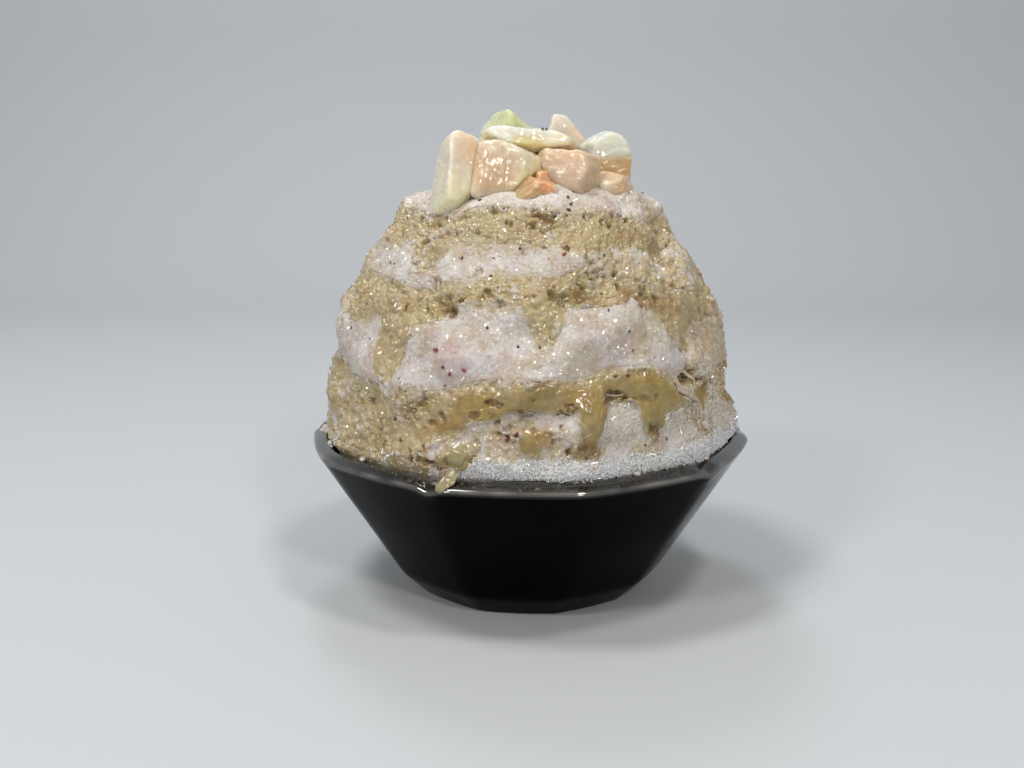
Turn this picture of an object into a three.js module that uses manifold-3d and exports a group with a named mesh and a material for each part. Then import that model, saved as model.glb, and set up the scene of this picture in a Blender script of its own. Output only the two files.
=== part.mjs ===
// Layered shaved ice with peach, heaped in a ten-sided black bowl.
// Millimetres, +Z up. The origin is the middle of the foot's underside.
// Angles run round the bowl from its front, which faces -Y, towards +X.
import * as THREE from "three";
import { mergeVertices } from "three/addons/utils/BufferGeometryUtils.js";
import Module from "manifold-3d";

const wasm = await Module();
wasm.setup();

const { degToRad, lerp, smoothstep } = THREE.MathUtils;

// Driving sizes.

const GAP = 0.3; // clear space between two pieces that touch
const COLUMNS = 80; // facets round the bowl and round each layer, eight to each of the bowl's sides

const BOWL = {
  rimRadius: 76, // at the corners
  lipHeight: 53.8, // inner edge of the lip, the bowl's highest line
  lipWidth: 5.2,
  lipFall: 2.2, // the lip's top slopes down and outwards by this much
  wall: 4.8, // measured level, through the slanting wall
  coneRadius: 48.2, // where the straight wall starts, above the bevel
  coneHeight: 8,
  footRadius: 39.6,
  footWidth: 8,
  footRecess: 2.4,
  floor: 7, // top of the bowl's inside
  sides: 10,
  firstCorner: -23,
  sideDepth: 0.55, // 0 is a round bowl, 1 has flat sides
  nickDepth: 1.3, // the lip dips at every second corner
  nickHalf: 3.2, // degrees
};

// The heap's outline above the lip: radius and height, from the lip to the middle of its top.
const HEAP_OUTLINE = [
  [69.8, 53],
  [70.6, 57.5],
  [68.6, 67],
  [67.1, 80],
  [64.4, 92],
  [59.4, 104.5],
  [50.4, 118],
  [42.4, 130],
  [34.5, 136.4],
  [20, 138.6],
  [0, 139],
];

// Each seam is the outside edge between two layers, from the top down.
// rise lifts the seam's middle inside the heap; swells are broad and runs are tongues of sauce, in degrees and mm.
const SEAMS = {
  crownFoot: {
    height: 130.2,
    rise: 0,
    swells: [
      { at: -8, half: 15, by: 1.2 },
      { at: -40, half: 13, by: -1.4 },
      { at: 65, half: 24, by: -3 },
      { at: 150, half: 26, by: 2 },
      { at: 230, half: 22, by: -2 },
    ],
    runs: [],
  },
  upperSauceFoot: {
    height: 121.8,
    rise: 5,
    swells: [{ at: 56, half: 16, by: -3.4 }],
    runs: [
      { at: -37, half: 8, by: -8 },
      { at: 21, half: 9, by: -2.6 },
      { at: 112, half: 8, by: -5 },
      { at: 158, half: 7, by: -7 },
      { at: 214, half: 9, by: -4 },
      { at: 262, half: 8, by: -6 },
    ],
  },
  upperIceFoot: {
    height: 110.8,
    rise: 6,
    swells: [
      { at: 8, half: 22, by: 2.4 },
      { at: -40, half: 14, by: -1.8 },
      { at: 56, half: 18, by: -5 },
      { at: 140, half: 20, by: 2 },
      { at: 205, half: 18, by: -3 },
    ],
    runs: [],
  },
  middleSauceFoot: {
    height: 104.2,
    rise: 6.5,
    swells: [
      { at: -63, half: 14, by: -7 },
      { at: -33, half: 9, by: -6 },
      { at: 60, half: 20, by: -8 },
    ],
    runs: [
      { at: -41, half: 6, by: -21 },
      { at: 4.6, half: 5, by: -9 },
      { at: 46, half: 7, by: -6 },
      { at: 104, half: 7, by: -11 },
      { at: 131, half: 6, by: -6 },
      { at: 176, half: 7, by: -13 },
      { at: 221, half: 7, by: -8 },
      { at: 252, half: 6, by: -14 },
    ],
  },
  middleIceFoot: {
    height: 82,
    rise: 8,
    swells: [
      { at: 2, half: 18, by: 2 },
      { at: -38, half: 20, by: -3.4 },
      { at: 28, half: 11, by: 4.4 },
      { at: 52, half: 14, by: -2 },
      { at: 120, half: 24, by: 3 },
      { at: 196, half: 22, by: -3 },
    ],
    runs: [],
  },
  lowerSauceFoot: {
    height: 70.6,
    rise: 8,
    swells: [
      { at: -46, half: 26, by: -13 },
      { at: 2, half: 12, by: 3.4 },
      { at: 24, half: 7, by: 5.4 },
      { at: 196, half: 16, by: -8 },
    ],
    runs: [
      { at: 16, half: 2.8, by: -10.6 },
      { at: 32.6, half: 3.2, by: -8 },
      { at: 52.6, half: 4.6, by: -9 },
      { at: 84, half: 6, by: -7 },
      { at: 108, half: 7, by: -10 },
      { at: 141, half: 7, by: -8 },
      { at: 232, half: 6, by: -9 },
      { at: 260, half: 7, by: -10 },
    ],
  },
};
const THINNEST_LAYER = 2.4; // height of a layer's outside where a run nearly crosses it
const LOWEST_SEAM = 57.2; // no sauce reaches the bowl's lip
const SEAM_RING = 0.86; // where a seam levels out, as a share of the heap's radius

// Hollows that melting has left in the side: place, half sizes and depth.
const HOLLOWS = [
  { at: 24, height: 76.5, half: 6.5, halfHeight: 5, depth: 3 },
  { at: 2, height: 73, half: 8, halfHeight: 3.4, depth: 2.6 },
  { at: 46, height: 80.5, half: 5, halfHeight: 4.5, depth: 3 },
  { at: -26, height: 103, half: 4.5, halfHeight: 3.4, depth: 2.2 },
  { at: 17, height: 106.5, half: 5, halfHeight: 3, depth: 1.8 },
  { at: -36, height: 117, half: 5, halfHeight: 3.4, depth: 2 },
  { at: 96, height: 74, half: 6, halfHeight: 4.5, depth: 3.4 },
  { at: 150, height: 101, half: 6, halfHeight: 4, depth: 2.6 },
  { at: 187, height: 76, half: 7, halfHeight: 4, depth: 3.4 },
  { at: 243, height: 99, half: 6, halfHeight: 4, depth: 2.4 },
  { at: 80, height: 132, half: 40, halfHeight: 9, depth: 1.8 },
  { at: -88, height: 136, half: 40, halfHeight: 4, depth: 3.4 },
  { at: -90, height: 80, half: 30, halfHeight: 9, depth: 2.2 },
  { at: -90, height: 104, half: 28, halfHeight: 8, depth: 1.2 },
  { at: 88, height: 79, half: 26, halfHeight: 9, depth: 1.6 },
  { at: 88, height: 69, half: 22, halfHeight: 6, depth: 3 },
];

// Uneven lumps all over the heap: waves round it and up it, drawn once from a seed.
const LUMPS = { seed: 7, waves: 16, height: 0.28, mostTurns: 16, shortest: 13, longest: 34 };

// Peach pieces. size is a piece's half length, half width and half height before the knife trims it;
// cuts are its flat faces: the way each one faces and how far from the middle it lies.
const PEACH = {
  peach_tall_wedge: {
    at: [-22.2, -29.6, 141.6],
    turn: [-16, 3, -20],
    size: [8.4, 8, 14.6],
    cuts: [
      { faces: [-0.75, -1, 0.05], by: 5.8 },
      { faces: [1, -0.7, 0.1], by: 5 },
      { faces: [-0.6, -0.1, 0.8], by: 10.4 },
      { faces: [0.3, 0, 1], by: 12.8 },
      { faces: [0.75, 0, -0.6], by: 8.6 },
      { faces: [-1, -0.1, 0.2], by: 8 },
      { faces: [0.1, -0.7, -1], by: 12 },
    ],
  },
  peach_front_chunk: {
    at: [-7.4, -26.4, 142.2],
    turn: [-6, 4, 6],
    size: [12.6, 10, 10.6],
    cuts: [
      { faces: [0.05, -1, 0.28], by: 8 },
      { faces: [0.9, -0.45, -0.7], by: 8.8 },
      { faces: [0.42, -0.2, 1], by: 8.8 },
      { faces: [-0.1, 0, 1], by: 9.8 },
      { faces: [-1, -0.3, 0.2], by: 11 },
      { faces: [0.75, -0.85, 0.35], by: 9.6 },
      { faces: [-0.6, -1, 0.4], by: 9.8 },
    ],
  },
  peach_right_chunk: {
    at: [12.2, -24.4, 141.8],
    turn: [-6, -3, -6],
    size: [10.8, 8.6, 8.4],
    cuts: [
      { faces: [0.1, -1, 0.5], by: 6.6 },
      { faces: [0.9, -0.5, 0.5], by: 8.6 },
      { faces: [-1, -0.45, 0.1], by: 9 },
      { faces: [0.1, 0.1, 1], by: 6.8 },
      { faces: [-0.5, -1, 0.1], by: 8 },
      { faces: [1, -0.5, -0.35], by: 9 },
      { faces: [-0.7, -0.6, -0.7], by: 8 },
    ],
  },
  peach_gap_chunk: {
    at: [6.2, -24.4, 138.6],
    turn: [4, 16, 20],
    size: [6.6, 6.4, 5.6],
    cuts: [
      { faces: [0.1, -1, 0.4], by: 5.2 },
      { faces: [-0.4, 0, 1], by: 5 },
      { faces: [0.8, 0, 0.7], by: 5.6 },
    ],
  },
  peach_low_sliver: {
    at: [2, -34.2, 135.2],
    turn: [10, 14, 6],
    size: [7.6, 5, 5],
    cuts: [
      { faces: [-0.75, -0.4, 0.8], by: 4.4 },
      { faces: [0.2, -1, 0.4], by: 4.4 },
      { faces: [0, -0.3, -1], by: 3.8 },
    ],
  },
  peach_low_crumb: {
    at: [28, -17.4, 136.8],
    turn: [0, 16, 24],
    size: [8.6, 4.8, 4.4],
    cuts: [
      { faces: [0.5, -0.8, 0.6], by: 4.2 },
      { faces: [0.8, 0.3, 0.6], by: 5.4 },
      { faces: [-0.5, -0.3, 0.9], by: 4.6 },
    ],
  },
  peach_side_cube: {
    at: [24.8, -7.4, 145.6],
    turn: [2, 5, 8],
    size: [9.2, 8.6, 10],
    cuts: [
      { faces: [-0.62, 0, 1], by: 8 },
      { faces: [0.25, 0, 1], by: 9.2 },
      { faces: [0.9, 0, 0.62], by: 8.6 },
      { faces: [1, 0, 0.05], by: 8 },
      { faces: [0.02, -1, 0.12], by: 7.2 },
      { faces: [-1, -0.4, 0], by: 8.2 },
    ],
  },
  peach_back_left: {
    at: [-20.6, -7.6, 143],
    turn: [-6, 6, 36],
    size: [10.4, 10.8, 9.4],
    cuts: [
      { faces: [-1, 0.4, 0.5], by: 8.6 },
      { faces: [0.2, 1, 0.6], by: 9 },
      { faces: [0.1, -0.2, 1], by: 8 },
      { faces: [-0.5, -0.9, 0.3], by: 9 },
      { faces: [-0.8, 0.8, -0.2], by: 9.6 },
    ],
  },
  peach_back_right: {
    at: [15.6, 10.4, 143.2],
    turn: [8, -6, -24],
    size: [11.2, 10.2, 9.2],
    cuts: [
      { faces: [0.1, 1, 0.5], by: 7.8 },
      { faces: [1, 0.3, 0.6], by: 9 },
      { faces: [-0.3, 0, 1], by: 7.8 },
      { faces: [0.7, 1, -0.1], by: 9.2 },
      { faces: [1, -0.6, 0], by: 9.8 },
    ],
  },
  peach_back_middle: {
    at: [-7.2, 11.6, 142.8],
    turn: [4, 8, 12],
    size: [10.4, 9.8, 8.8],
    cuts: [
      { faces: [-0.4, 1, 0.5], by: 7.4 },
      { faces: [-1, 0.2, 0.6], by: 8.4 },
      { faces: [0.3, -0.1, 1], by: 7.4 },
      { faces: [0.5, 1, -0.1], by: 8.6 },
      { faces: [-0.9, 0.9, 0], by: 9 },
    ],
  },
  peach_top_slice: {
    at: [0.2, -17.4, 151.3],
    turn: [-8, 4.6, -3],
    size: [17.4, 6.6, 6.2],
    cuts: [
      { faces: [0, -0.15, 1], by: 4.5 },
      { faces: [-0.4, -0.1, 1], by: 7.9 },
      { faces: [0.28, -0.1, 1], by: 5.7 },
      { faces: [0, -1, 0.45], by: 5.3 },
      { faces: [0, -0.8, -1], by: 5.5 },
      { faces: [-0.42, -0.2, -1], by: 5.4 },
      { faces: [0.25, -0.2, -1], by: 5.2 },
      { faces: [1, -0.5, 0.1], by: 14.2 },
    ],
  },
  peach_top_green: {
    at: [-6.4, -7, 152.9],
    turn: [6, -10, 14],
    size: [9.4, 8, 8.8],
    cuts: [
      { faces: [0.95, -0.2, 0.8], by: 6.8 },
      { faces: [-0.75, -0.2, 0.7], by: 6.2 },
      { faces: [-0.4, -1, 0.3], by: 7 },
      { faces: [0.5, -1, 0.2], by: 7 },
    ],
  },
  peach_top_point: {
    at: [10.4, -0.8, 151.8],
    turn: [0, 4, -8],
    size: [9.2, 8, 9.6],
    cuts: [
      { faces: [-1, -0.1, 0.16], by: 4.7 },
      { faces: [1, 0, 0.95], by: 6.9 },
      { faces: [0, 0, 1], by: 8.4 },
      { faces: [0, 1, 0.5], by: 7.2 },
      { faces: [0.2, -1, 0.2], by: 6.6 },
    ],
  },
};
const PEACH_BOXINESS = 5; // 2 makes a piece's body an ellipsoid, and more fills out its corners
const PEACH_SHARPNESS = 26; // higher gives crisper edges between a piece's cut faces
const PEACH_DETAIL = 2; // splits of an icosahedron's edges

// Materials.

const paint = (color, roughness, metalness = 0) =>
  new THREE.MeshStandardMaterial({ color, roughness, metalness, flatShading: true });

const materials = {
  glaze: paint("#15140f", 0.12),
  ice: paint("#d9d0cb", 0.65),
  crown: paint("#dccdc8", 0.6),
  sauce: paint("#b99f6b", 0.35),
  peachPink: paint("#dcb690", 0.3),
  peachPale: paint("#dfdcb8", 0.3),
};

// Shapes.

// A surface turned about Z, whose rows of [radius, height] change with the angle.
// Columns start at one of the bowl's corners and run the way that direction, 1 or -1, says.
function turned(rowsAt, direction = 1) {
  const profile = rowsAt(0).map(([radius, height]) => new THREE.Vector2(radius, height));
  const geometry = new THREE.LatheGeometry(profile, COLUMNS).rotateX(Math.PI / 2);
  const position = geometry.getAttribute("position");
  for (let column = 0; column <= COLUMNS; column++) {
    const angle = degToRad(BOWL.firstCorner + (direction * 360 * (column % COLUMNS)) / COLUMNS);
    rowsAt(angle).forEach(([radius, height], row) => {
      const point = column * profile.length + row;
      position.setXYZ(point, radius * Math.sin(angle), -radius * Math.cos(angle), height);
    });
  }
  if (direction < 0) geometry.index.array.reverse();
  return geometry;
}

// Degrees from one direction to another, from -180 to 180.
function degreesApart(angle, at) {
  return THREE.MathUtils.euclideanModulo(THREE.MathUtils.radToDeg(angle) - at + 180, 360) - 180;
}

// 1 in the middle of a bump that is flat on top, and 0 past its half width.
function bump(distance, half) {
  return Math.exp(-((distance / half) ** 4));
}

function seededRandom(seed) {
  let state = seed;
  return () => {
    state = (state * 1664525 + 1013904223) % 4294967296;
    return state / 4294967296;
  };
}

// Bowl.

// How much of its corner radius the bowl has at an angle: a decagon with softened sides.
function bowlRoundness(angle) {
  const side = 360 / BOWL.sides;
  const fromCorner = THREE.MathUtils.euclideanModulo(degreesApart(angle, BOWL.firstCorner), side);
  const flat = Math.cos(degToRad(side / 2)) / Math.cos(degToRad(fromCorner - side / 2));
  return 1 - BOWL.sideDepth * (1 - flat);
}

// How deep the lip's nicks are at an angle: one at every second corner.
function nick(angle) {
  const spacing = 720 / BOWL.sides;
  const turn = degreesApart(angle, BOWL.firstCorner);
  const nearest = turn - spacing * Math.round(turn / spacing);
  return BOWL.nickDepth * bump(nearest, BOWL.nickHalf);
}

// The bowl's inside radius at a height, at its corners.
function insideRadius(height) {
  const share = (height - BOWL.coneHeight) / (BOWL.lipHeight - 0.5 - BOWL.coneHeight);
  return lerp(BOWL.coneRadius - BOWL.wall, BOWL.rimRadius - BOWL.lipWidth, share);
}

function bowlGeometry() {
  const { coneRadius, coneHeight, footRadius, footWidth, footRecess, floor } = BOWL;
  const { lipHeight, lipFall, lipWidth, rimRadius } = BOWL;
  const edge = lipHeight - lipFall;
  const rows = [
    [0, footRecess],
    [footRadius - footWidth - 1.4, footRecess],
    [footRadius - footWidth, 0],
    [footRadius - 0.9, 0],
    [footRadius, 0.7],
    [coneRadius, coneHeight],
    [rimRadius - 0.8, edge - 1.6],
    [rimRadius, edge - 0.5],
    [rimRadius - 0.5, edge + 0.3],
    [rimRadius - lipWidth + 0.6, lipHeight],
    [rimRadius - lipWidth, lipHeight - 0.5],
    [insideRadius(floor + 6), floor + 6],
    [insideRadius(floor) - 8, floor + 0.6],
    [0, floor],
  ];
  return turned((angle) =>
    rows.map(([radius, height]) => {
      const onLip = smoothstep(height, edge - 6, edge);
      return [radius * bowlRoundness(angle), height - nick(angle) * onLip];
    }),
  );
}

// Heap of ice and sauce.

const heapCurve = new THREE.SplineCurve(HEAP_OUTLINE.map(([r, z]) => new THREE.Vector2(r, z))).getPoints(400);

// The heap's radius at a height, before its lumps.
function heapRadius(height) {
  const above = heapCurve.findIndex((point) => point.y >= height);
  if (above < 0) return 0;
  if (above === 0) return heapCurve[0].x;
  const [low, high] = [heapCurve[above - 1], heapCurve[above]];
  return lerp(low.x, high.x, (height - low.y) / (high.y - low.y));
}

const lumpWaves = (() => {
  const random = seededRandom(LUMPS.seed);
  return Array.from({ length: LUMPS.waves }, () => ({
    turns: Math.round(lerp(2, LUMPS.mostTurns, random())),
    perMm: (2 * Math.PI) / lerp(LUMPS.shortest, LUMPS.longest, random()) * (random() < 0.5 ? -1 : 1),
    start: 2 * Math.PI * random(),
  }));
})();

function lumps(angle, height) {
  const total = lumpWaves.reduce(
    (sum, wave) => sum + Math.cos(wave.turns * angle + wave.perMm * height + wave.start),
    0,
  );
  return LUMPS.height * total;
}

function hollows(angle, height) {
  return HOLLOWS.reduce((sum, hollow) => {
    const across = degreesApart(angle, hollow.at) / hollow.half;
    const along = (height - hollow.height) / hollow.halfHeight;
    return sum + hollow.depth * Math.exp(-(across * across + along * along));
  }, 0);
}

// The heap's surface: it follows the bowl's sides near the lip and is round further up.
function surfaceRadius(angle, height) {
  const { lipHeight } = BOWL;
  const freed = smoothstep(height, lipHeight, lipHeight + 22);
  const loose = smoothstep(height, lipHeight + 0.5, lipHeight + 7);
  const round = lerp(bowlRoundness(angle), 1, freed);
  return heapRadius(height) * round + loose * (lumps(angle, height) - hollows(angle, height));
}

function seamLevel(seam, angle) {
  return seam.swells.reduce(
    (sum, swell) => sum + swell.by * bump(degreesApart(angle, swell.at), swell.half),
    seam.height,
  );
}

// The heights of all six seams on the outside, from the top down, kept in order.
function seamEdges(angle) {
  let limit = Infinity;
  return Object.values(SEAMS).map((seam) => {
    const runs = seam.runs.map((run) => run.by * bump(degreesApart(angle, run.at), run.half));
    const height = Math.max(seamLevel(seam, angle) + Math.min(0, ...runs), LOWEST_SEAM);
    limit = Math.min(height, limit - THINNEST_LAYER);
    return limit;
  });
}

// A layer between two seams. upper or lower is the seam's place in SEAMS, and lift keeps it off its neighbour.
function capRows(index, angle, lift) {
  const seam = Object.values(SEAMS)[index];
  const level = seamLevel(seam, angle);
  const ring = SEAM_RING * heapRadius(seam.height);
  return [
    [0, seam.height + seam.rise + lift],
    [ring, lerp(level, seam.height, 0.5) + seam.rise / 6 + lift],
  ];
}

function wallRows(angle, low, high, steps) {
  return Array.from({ length: steps + 1 }, (_, k) => {
    const height = lerp(low, high, k / steps);
    return [surfaceRadius(angle, height), height];
  });
}

// Neighbours are turned opposite ways, so that the faces on both sides of a seam match.
function layerGeometry(upper, steps) {
  const rowsAt = (angle) => {
    const edges = seamEdges(angle);
    return [
      ...capRows(upper + 1, angle, GAP / 2),
      ...wallRows(angle, edges[upper + 1] + GAP / 2, edges[upper] - GAP / 2, steps),
      ...capRows(upper, angle, -GAP / 2).reverse(),
    ];
  };
  return turned(rowsAt, upper % 2 ? 1 : -1);
}

function crownGeometry(steps) {
  const [topRadius, topHeight] = HEAP_OUTLINE.at(-2);
  return turned((angle) => [
    ...capRows(0, angle, GAP / 2),
    ...wallRows(angle, seamEdges(angle)[0] + GAP / 2, HEAP_OUTLINE.at(-3)[1], steps),
    [topRadius, topHeight + 0.5 * lumps(angle, topHeight)],
    [0, HEAP_OUTLINE.at(-1)[1]],
  ]);
}

function baseGeometry(steps) {
  const last = Object.keys(SEAMS).length - 1;
  const { floor, lipHeight } = BOWL;
  const insideRow = (angle, height, fit) => [(insideRadius(height) - fit) * bowlRoundness(angle), height];
  return turned((angle) => [
    [0, floor + GAP],
    insideRow(angle, floor + 1.2, 9),
    insideRow(angle, floor + 7, 2 * GAP),
    insideRow(angle, lipHeight - 2, 2 * GAP),
    ...wallRows(angle, lipHeight + 0.6, seamEdges(angle)[last] - GAP / 2, steps),
    ...capRows(last, angle, -GAP / 2).reverse(),
  ]);
}

// Peach.

// A cut piece of fruit: a rounded block with flat knife faces.
function peachGeometry({ at, turn, size, cuts }, grow = 0) {
  const geometry = new THREE.IcosahedronGeometry(1, PEACH_DETAIL);
  const position = geometry.getAttribute("position");
  const knives = cuts.map(({ faces, by }) => ({ normal: new THREE.Vector3(...faces).normalize(), by: by + grow }));
  const way = new THREE.Vector3();
  for (let i = 0; i < position.count; i++) {
    way.fromBufferAttribute(position, i).normalize();
    const shares = size.map((half, axis) => Math.abs(way.getComponent(axis) / (half + grow)) ** PEACH_BOXINESS);
    const block = (shares[0] + shares[1] + shares[2]) ** (1 / PEACH_BOXINESS);
    const trimmed = knives.reduce(
      (sum, { normal, by }) => sum + Math.max(0, way.dot(normal) / by) ** PEACH_SHARPNESS,
      block ** PEACH_SHARPNESS,
    );
    way.multiplyScalar(trimmed ** (-1 / PEACH_SHARPNESS));
    position.setXYZ(i, way.x, way.y, way.z);
  }
  const placed = new THREE.Object3D();
  placed.position.set(...at);
  placed.rotation.set(...turn.map(degToRad));
  placed.updateMatrix();
  return geometry.applyMatrix4(placed.matrix);
}

// Joining and cutting.

function solidOf(geometry) {
  const bare = geometry.clone();
  bare.deleteAttribute("normal");
  bare.deleteAttribute("uv");
  const merged = mergeVertices(bare, 1e-4);
  const corners = merged.index.array;
  const kept = [];
  for (let i = 0; i < corners.length; i += 3) {
    const [a, b, c] = corners.slice(i, i + 3);
    if (a !== b && b !== c && a !== c) kept.push(a, b, c);
  }
  const vertProperties = new Float32Array(merged.getAttribute("position").array);
  return new wasm.Manifold(new wasm.Mesh({ numProp: 3, vertProperties, triVerts: new Uint32Array(kept) }));
}

function geometryOf(solid) {
  const { vertProperties, triVerts } = solid.getMesh();
  const geometry = new THREE.BufferGeometry();
  geometry.setAttribute("position", new THREE.BufferAttribute(new Float32Array(vertProperties), 3));
  geometry.setIndex(new THREE.BufferAttribute(new Uint32Array(triVerts), 1));
  geometry.computeVertexNormals();
  return geometry;
}

// Each piece of peach is cut back from those laid before it, and the layers under the pile from all of them.
function peachPile() {
  const laid = [];
  const pieces = Object.entries(PEACH).map(([name, piece]) => {
    const cut = laid.reduce((solid, other) => solid.subtract(other), solidOf(peachGeometry(piece)));
    laid.push(solidOf(peachGeometry(piece, GAP)));
    return [name, geometryOf(cut)];
  });
  return { pieces, laid };
}

// The whole dessert.

const dessert = new THREE.Group();
dessert.name = "shaved_ice_dessert";

function add(name, geometry, material) {
  const mesh = new THREE.Mesh(geometry, material);
  mesh.name = name;
  dessert.add(mesh);
}

const pile = peachPile();

function underThePile(geometry) {
  return geometryOf(pile.laid.reduce((solid, piece) => solid.subtract(piece), solidOf(geometry)));
}

add("bowl", bowlGeometry(), materials.glaze);
add("ice_base", baseGeometry(3), materials.ice);
add("sauce_lower", layerGeometry(4, 3), materials.sauce);
add("ice_middle", layerGeometry(3, 4), materials.ice);
add("sauce_middle", layerGeometry(2, 3), materials.sauce);
add("ice_upper", layerGeometry(1, 3), materials.ice);
add("sauce_upper", underThePile(layerGeometry(0, 2)), materials.sauce);
add("ice_crown", underThePile(crownGeometry(2)), materials.crown);
for (const [name, geometry] of pile.pieces) {
  const pale = name.startsWith("peach_top") || name === "peach_side_cube";
  add(name, geometry, pale ? materials.peachPale : materials.peachPink);
}

export default dessert;
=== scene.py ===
# Shaved ice with bands of milk sauce and cut peach, in a faceted black bowl.
# Sizes are in millimetres and turned to metres by the factor mm. Angles are degrees round the bowl,
# from its front (-Y) towards +X.
import itertools
import math
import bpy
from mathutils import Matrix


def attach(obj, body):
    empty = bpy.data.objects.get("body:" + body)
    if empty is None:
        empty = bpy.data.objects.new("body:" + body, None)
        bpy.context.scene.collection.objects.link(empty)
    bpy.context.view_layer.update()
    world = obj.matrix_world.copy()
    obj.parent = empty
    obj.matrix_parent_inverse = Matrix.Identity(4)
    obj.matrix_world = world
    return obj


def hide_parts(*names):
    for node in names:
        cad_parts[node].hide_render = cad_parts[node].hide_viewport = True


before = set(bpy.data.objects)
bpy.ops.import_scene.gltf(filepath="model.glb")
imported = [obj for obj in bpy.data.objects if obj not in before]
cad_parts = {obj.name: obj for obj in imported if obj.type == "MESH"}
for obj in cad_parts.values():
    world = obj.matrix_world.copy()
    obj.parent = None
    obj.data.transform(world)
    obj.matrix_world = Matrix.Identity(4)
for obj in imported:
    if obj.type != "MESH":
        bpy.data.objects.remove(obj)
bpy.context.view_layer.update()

from types import SimpleNamespace

import bmesh
import bpy
import numpy as np
from mathutils import Euler, Matrix, Vector

mm = 0.001
print("frame loaded:", len(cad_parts), "nodes")


def smooth(value, low, high):
    share = np.clip((value - low) / (high - low), 0, 1)
    return share * share * (3 - 2 * share)


def mix(first, second, share):
    return first + (second - first) * share


def bump(distance, half):
    return np.exp(-((distance / half) ** 4))  # flat on top, nothing past its half width


def degreesApart(angle, at):
    return (angle - at + 180) % 360 - 180


def spotDistance(angle, height, spot):
    # squared distance from the middle of a spot (angle, height, half width, half height, ...), 1 at its edge
    at, level, half, halfHeight = spot[:4]
    return (degreesApart(angle, at) / half) ** 2 + ((height - level) / halfHeight) ** 2


# random numbers that fill a repeating lattice
dice = np.random.default_rng(5).random((4, 64**3)).astype(np.float32)


def latticeParts(points, size, seed):
    spots = [np.ascontiguousarray(axis) / size + seed * (7.31 + k) for k, axis in enumerate(points.T)]
    cells = [np.floor(spot) for spot in spots]
    parts = [(spot - cell).astype(np.float32) for spot, cell in zip(spots, cells)]
    return [cell.astype(np.int32) for cell in cells], parts


def latticePlace(cells, steps):
    a, b, c = (cell + step & 63 for cell, step in zip(cells, steps))
    return (a << 12) + (b << 6) + c


def softNoise(points, size, seed):
    # smooth random lumps from -1 to 1, about as wide as size
    cells, parts = latticeParts(points, size, seed)
    u, v, w = (part * part * (3 - 2 * part) for part in parts)
    total = 0
    for i, j, k in itertools.product((0, 1), repeat=3):
        weight = (u if i else 1 - u) * (v if j else 1 - v) * (w if k else 1 - w)
        total = total + weight * dice[0][latticePlace(cells, (i, j, k))]
    return 2 * total - 1


def grainNoise(points, size, seed):
    # distance to the nearest of scattered centres, one to a cell of this size, and that centre's own number
    cells, parts = latticeParts(points, size, seed)
    nearest = np.full(len(points), 9, dtype=np.float32)
    owner = np.zeros(len(points), dtype=np.float32)
    for steps in itertools.product((-1, 0, 1), repeat=3):
        place = latticePlace(cells, steps)
        distance = sum((dice[k][place] + (steps[k] - parts[k])) ** 2 for k in range(3))
        owner = np.where(distance < nearest, dice[3][place], owner)
        nearest = np.minimum(nearest, distance)
    return np.sqrt(nearest), owner


def smoothCurve(points, steps):
    # a curve through the points, with the end points doubled
    ends = np.vstack([points[0], points, points[-1]]).astype(float)
    share = np.linspace(0, 1, steps, endpoint=False)[:, None]
    spans = []
    for a, b, c, d in zip(ends, ends[1:], ends[2:], ends[3:]):
        bend = (2 * a - 5 * b + 4 * c - d) * share**2 + (3 * b - a - 3 * c + d) * share**3
        spans.append(0.5 * (2 * b + (c - a) * share + bend))
    return np.vstack(spans + [ends[-1:]])


def roundedSection(corners, steps=6):
    # a turned section whose corners (radius, height, rounding) are replaced by small arcs
    path = []
    for index, (r, z, rounding) in enumerate(corners):
        corner = Vector((r, z))
        if not rounding:
            path.append(corner)
            continue
        before = (Vector(corners[index - 1][:2]) - corner).normalized() * rounding
        after = (Vector(corners[index + 1][:2]) - corner).normalized() * rounding
        for step in range(steps + 1):
            share = step / steps
            path.append(corner + before * (1 - share) ** 2 + after * share**2)
    return path


def linear(hexColour):
    # an sRGB hex colour as the linear values that shaders take
    parts = [int(hexColour[i:i + 2], 16) / 255 for i in (1, 3, 5)]
    return tuple(p / 12.92 if p <= 0.04045 else ((p + 0.055) / 1.055) ** 2.4 for p in parts) + (1,)


def readPoints(mesh):
    points = np.empty(len(mesh.vertices) * 3)
    mesh.vertices.foreach_get("co", points)
    return points.reshape(-1, 3)


def writePoints(mesh, points):
    mesh.vertices.foreach_set("co", np.ascontiguousarray(points, dtype=np.float32).ravel())
    mesh.update()


def writeValues(mesh, name, values):
    mesh.attributes.new(name, "FLOAT", "POINT").data.foreach_set("value", values.astype(np.float32))


def newPiece(name, mesh, material, replaced=(), shadeSmooth=True):
    piece = bpy.data.objects.new(name, mesh)
    bpy.context.scene.collection.objects.link(piece)
    mesh.materials.clear()
    mesh.materials.append(material)
    mesh.polygons.foreach_set("use_smooth", [shadeSmooth] * len(mesh.polygons))
    mesh.update()
    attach(piece, "root")
    for node in replaced:
        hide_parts(node)
    return piece


def feed(tree, node, inputs):
    # links each input that is given another node's output, and sets any other on the socket itself
    for socket, given in inputs.items():
        if isinstance(given, bpy.types.NodeSocket):
            tree.links.new(given, node.inputs[socket])
        else:
            node.inputs[socket].default_value = given


def addNode(tree, kind, inputs=None, out=0, **settings):
    node = tree.nodes.new(kind)
    for key, value in settings.items():
        setattr(node, key, value)
    feed(tree, node, inputs or {})
    return node if out is None else node.outputs[out]


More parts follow.
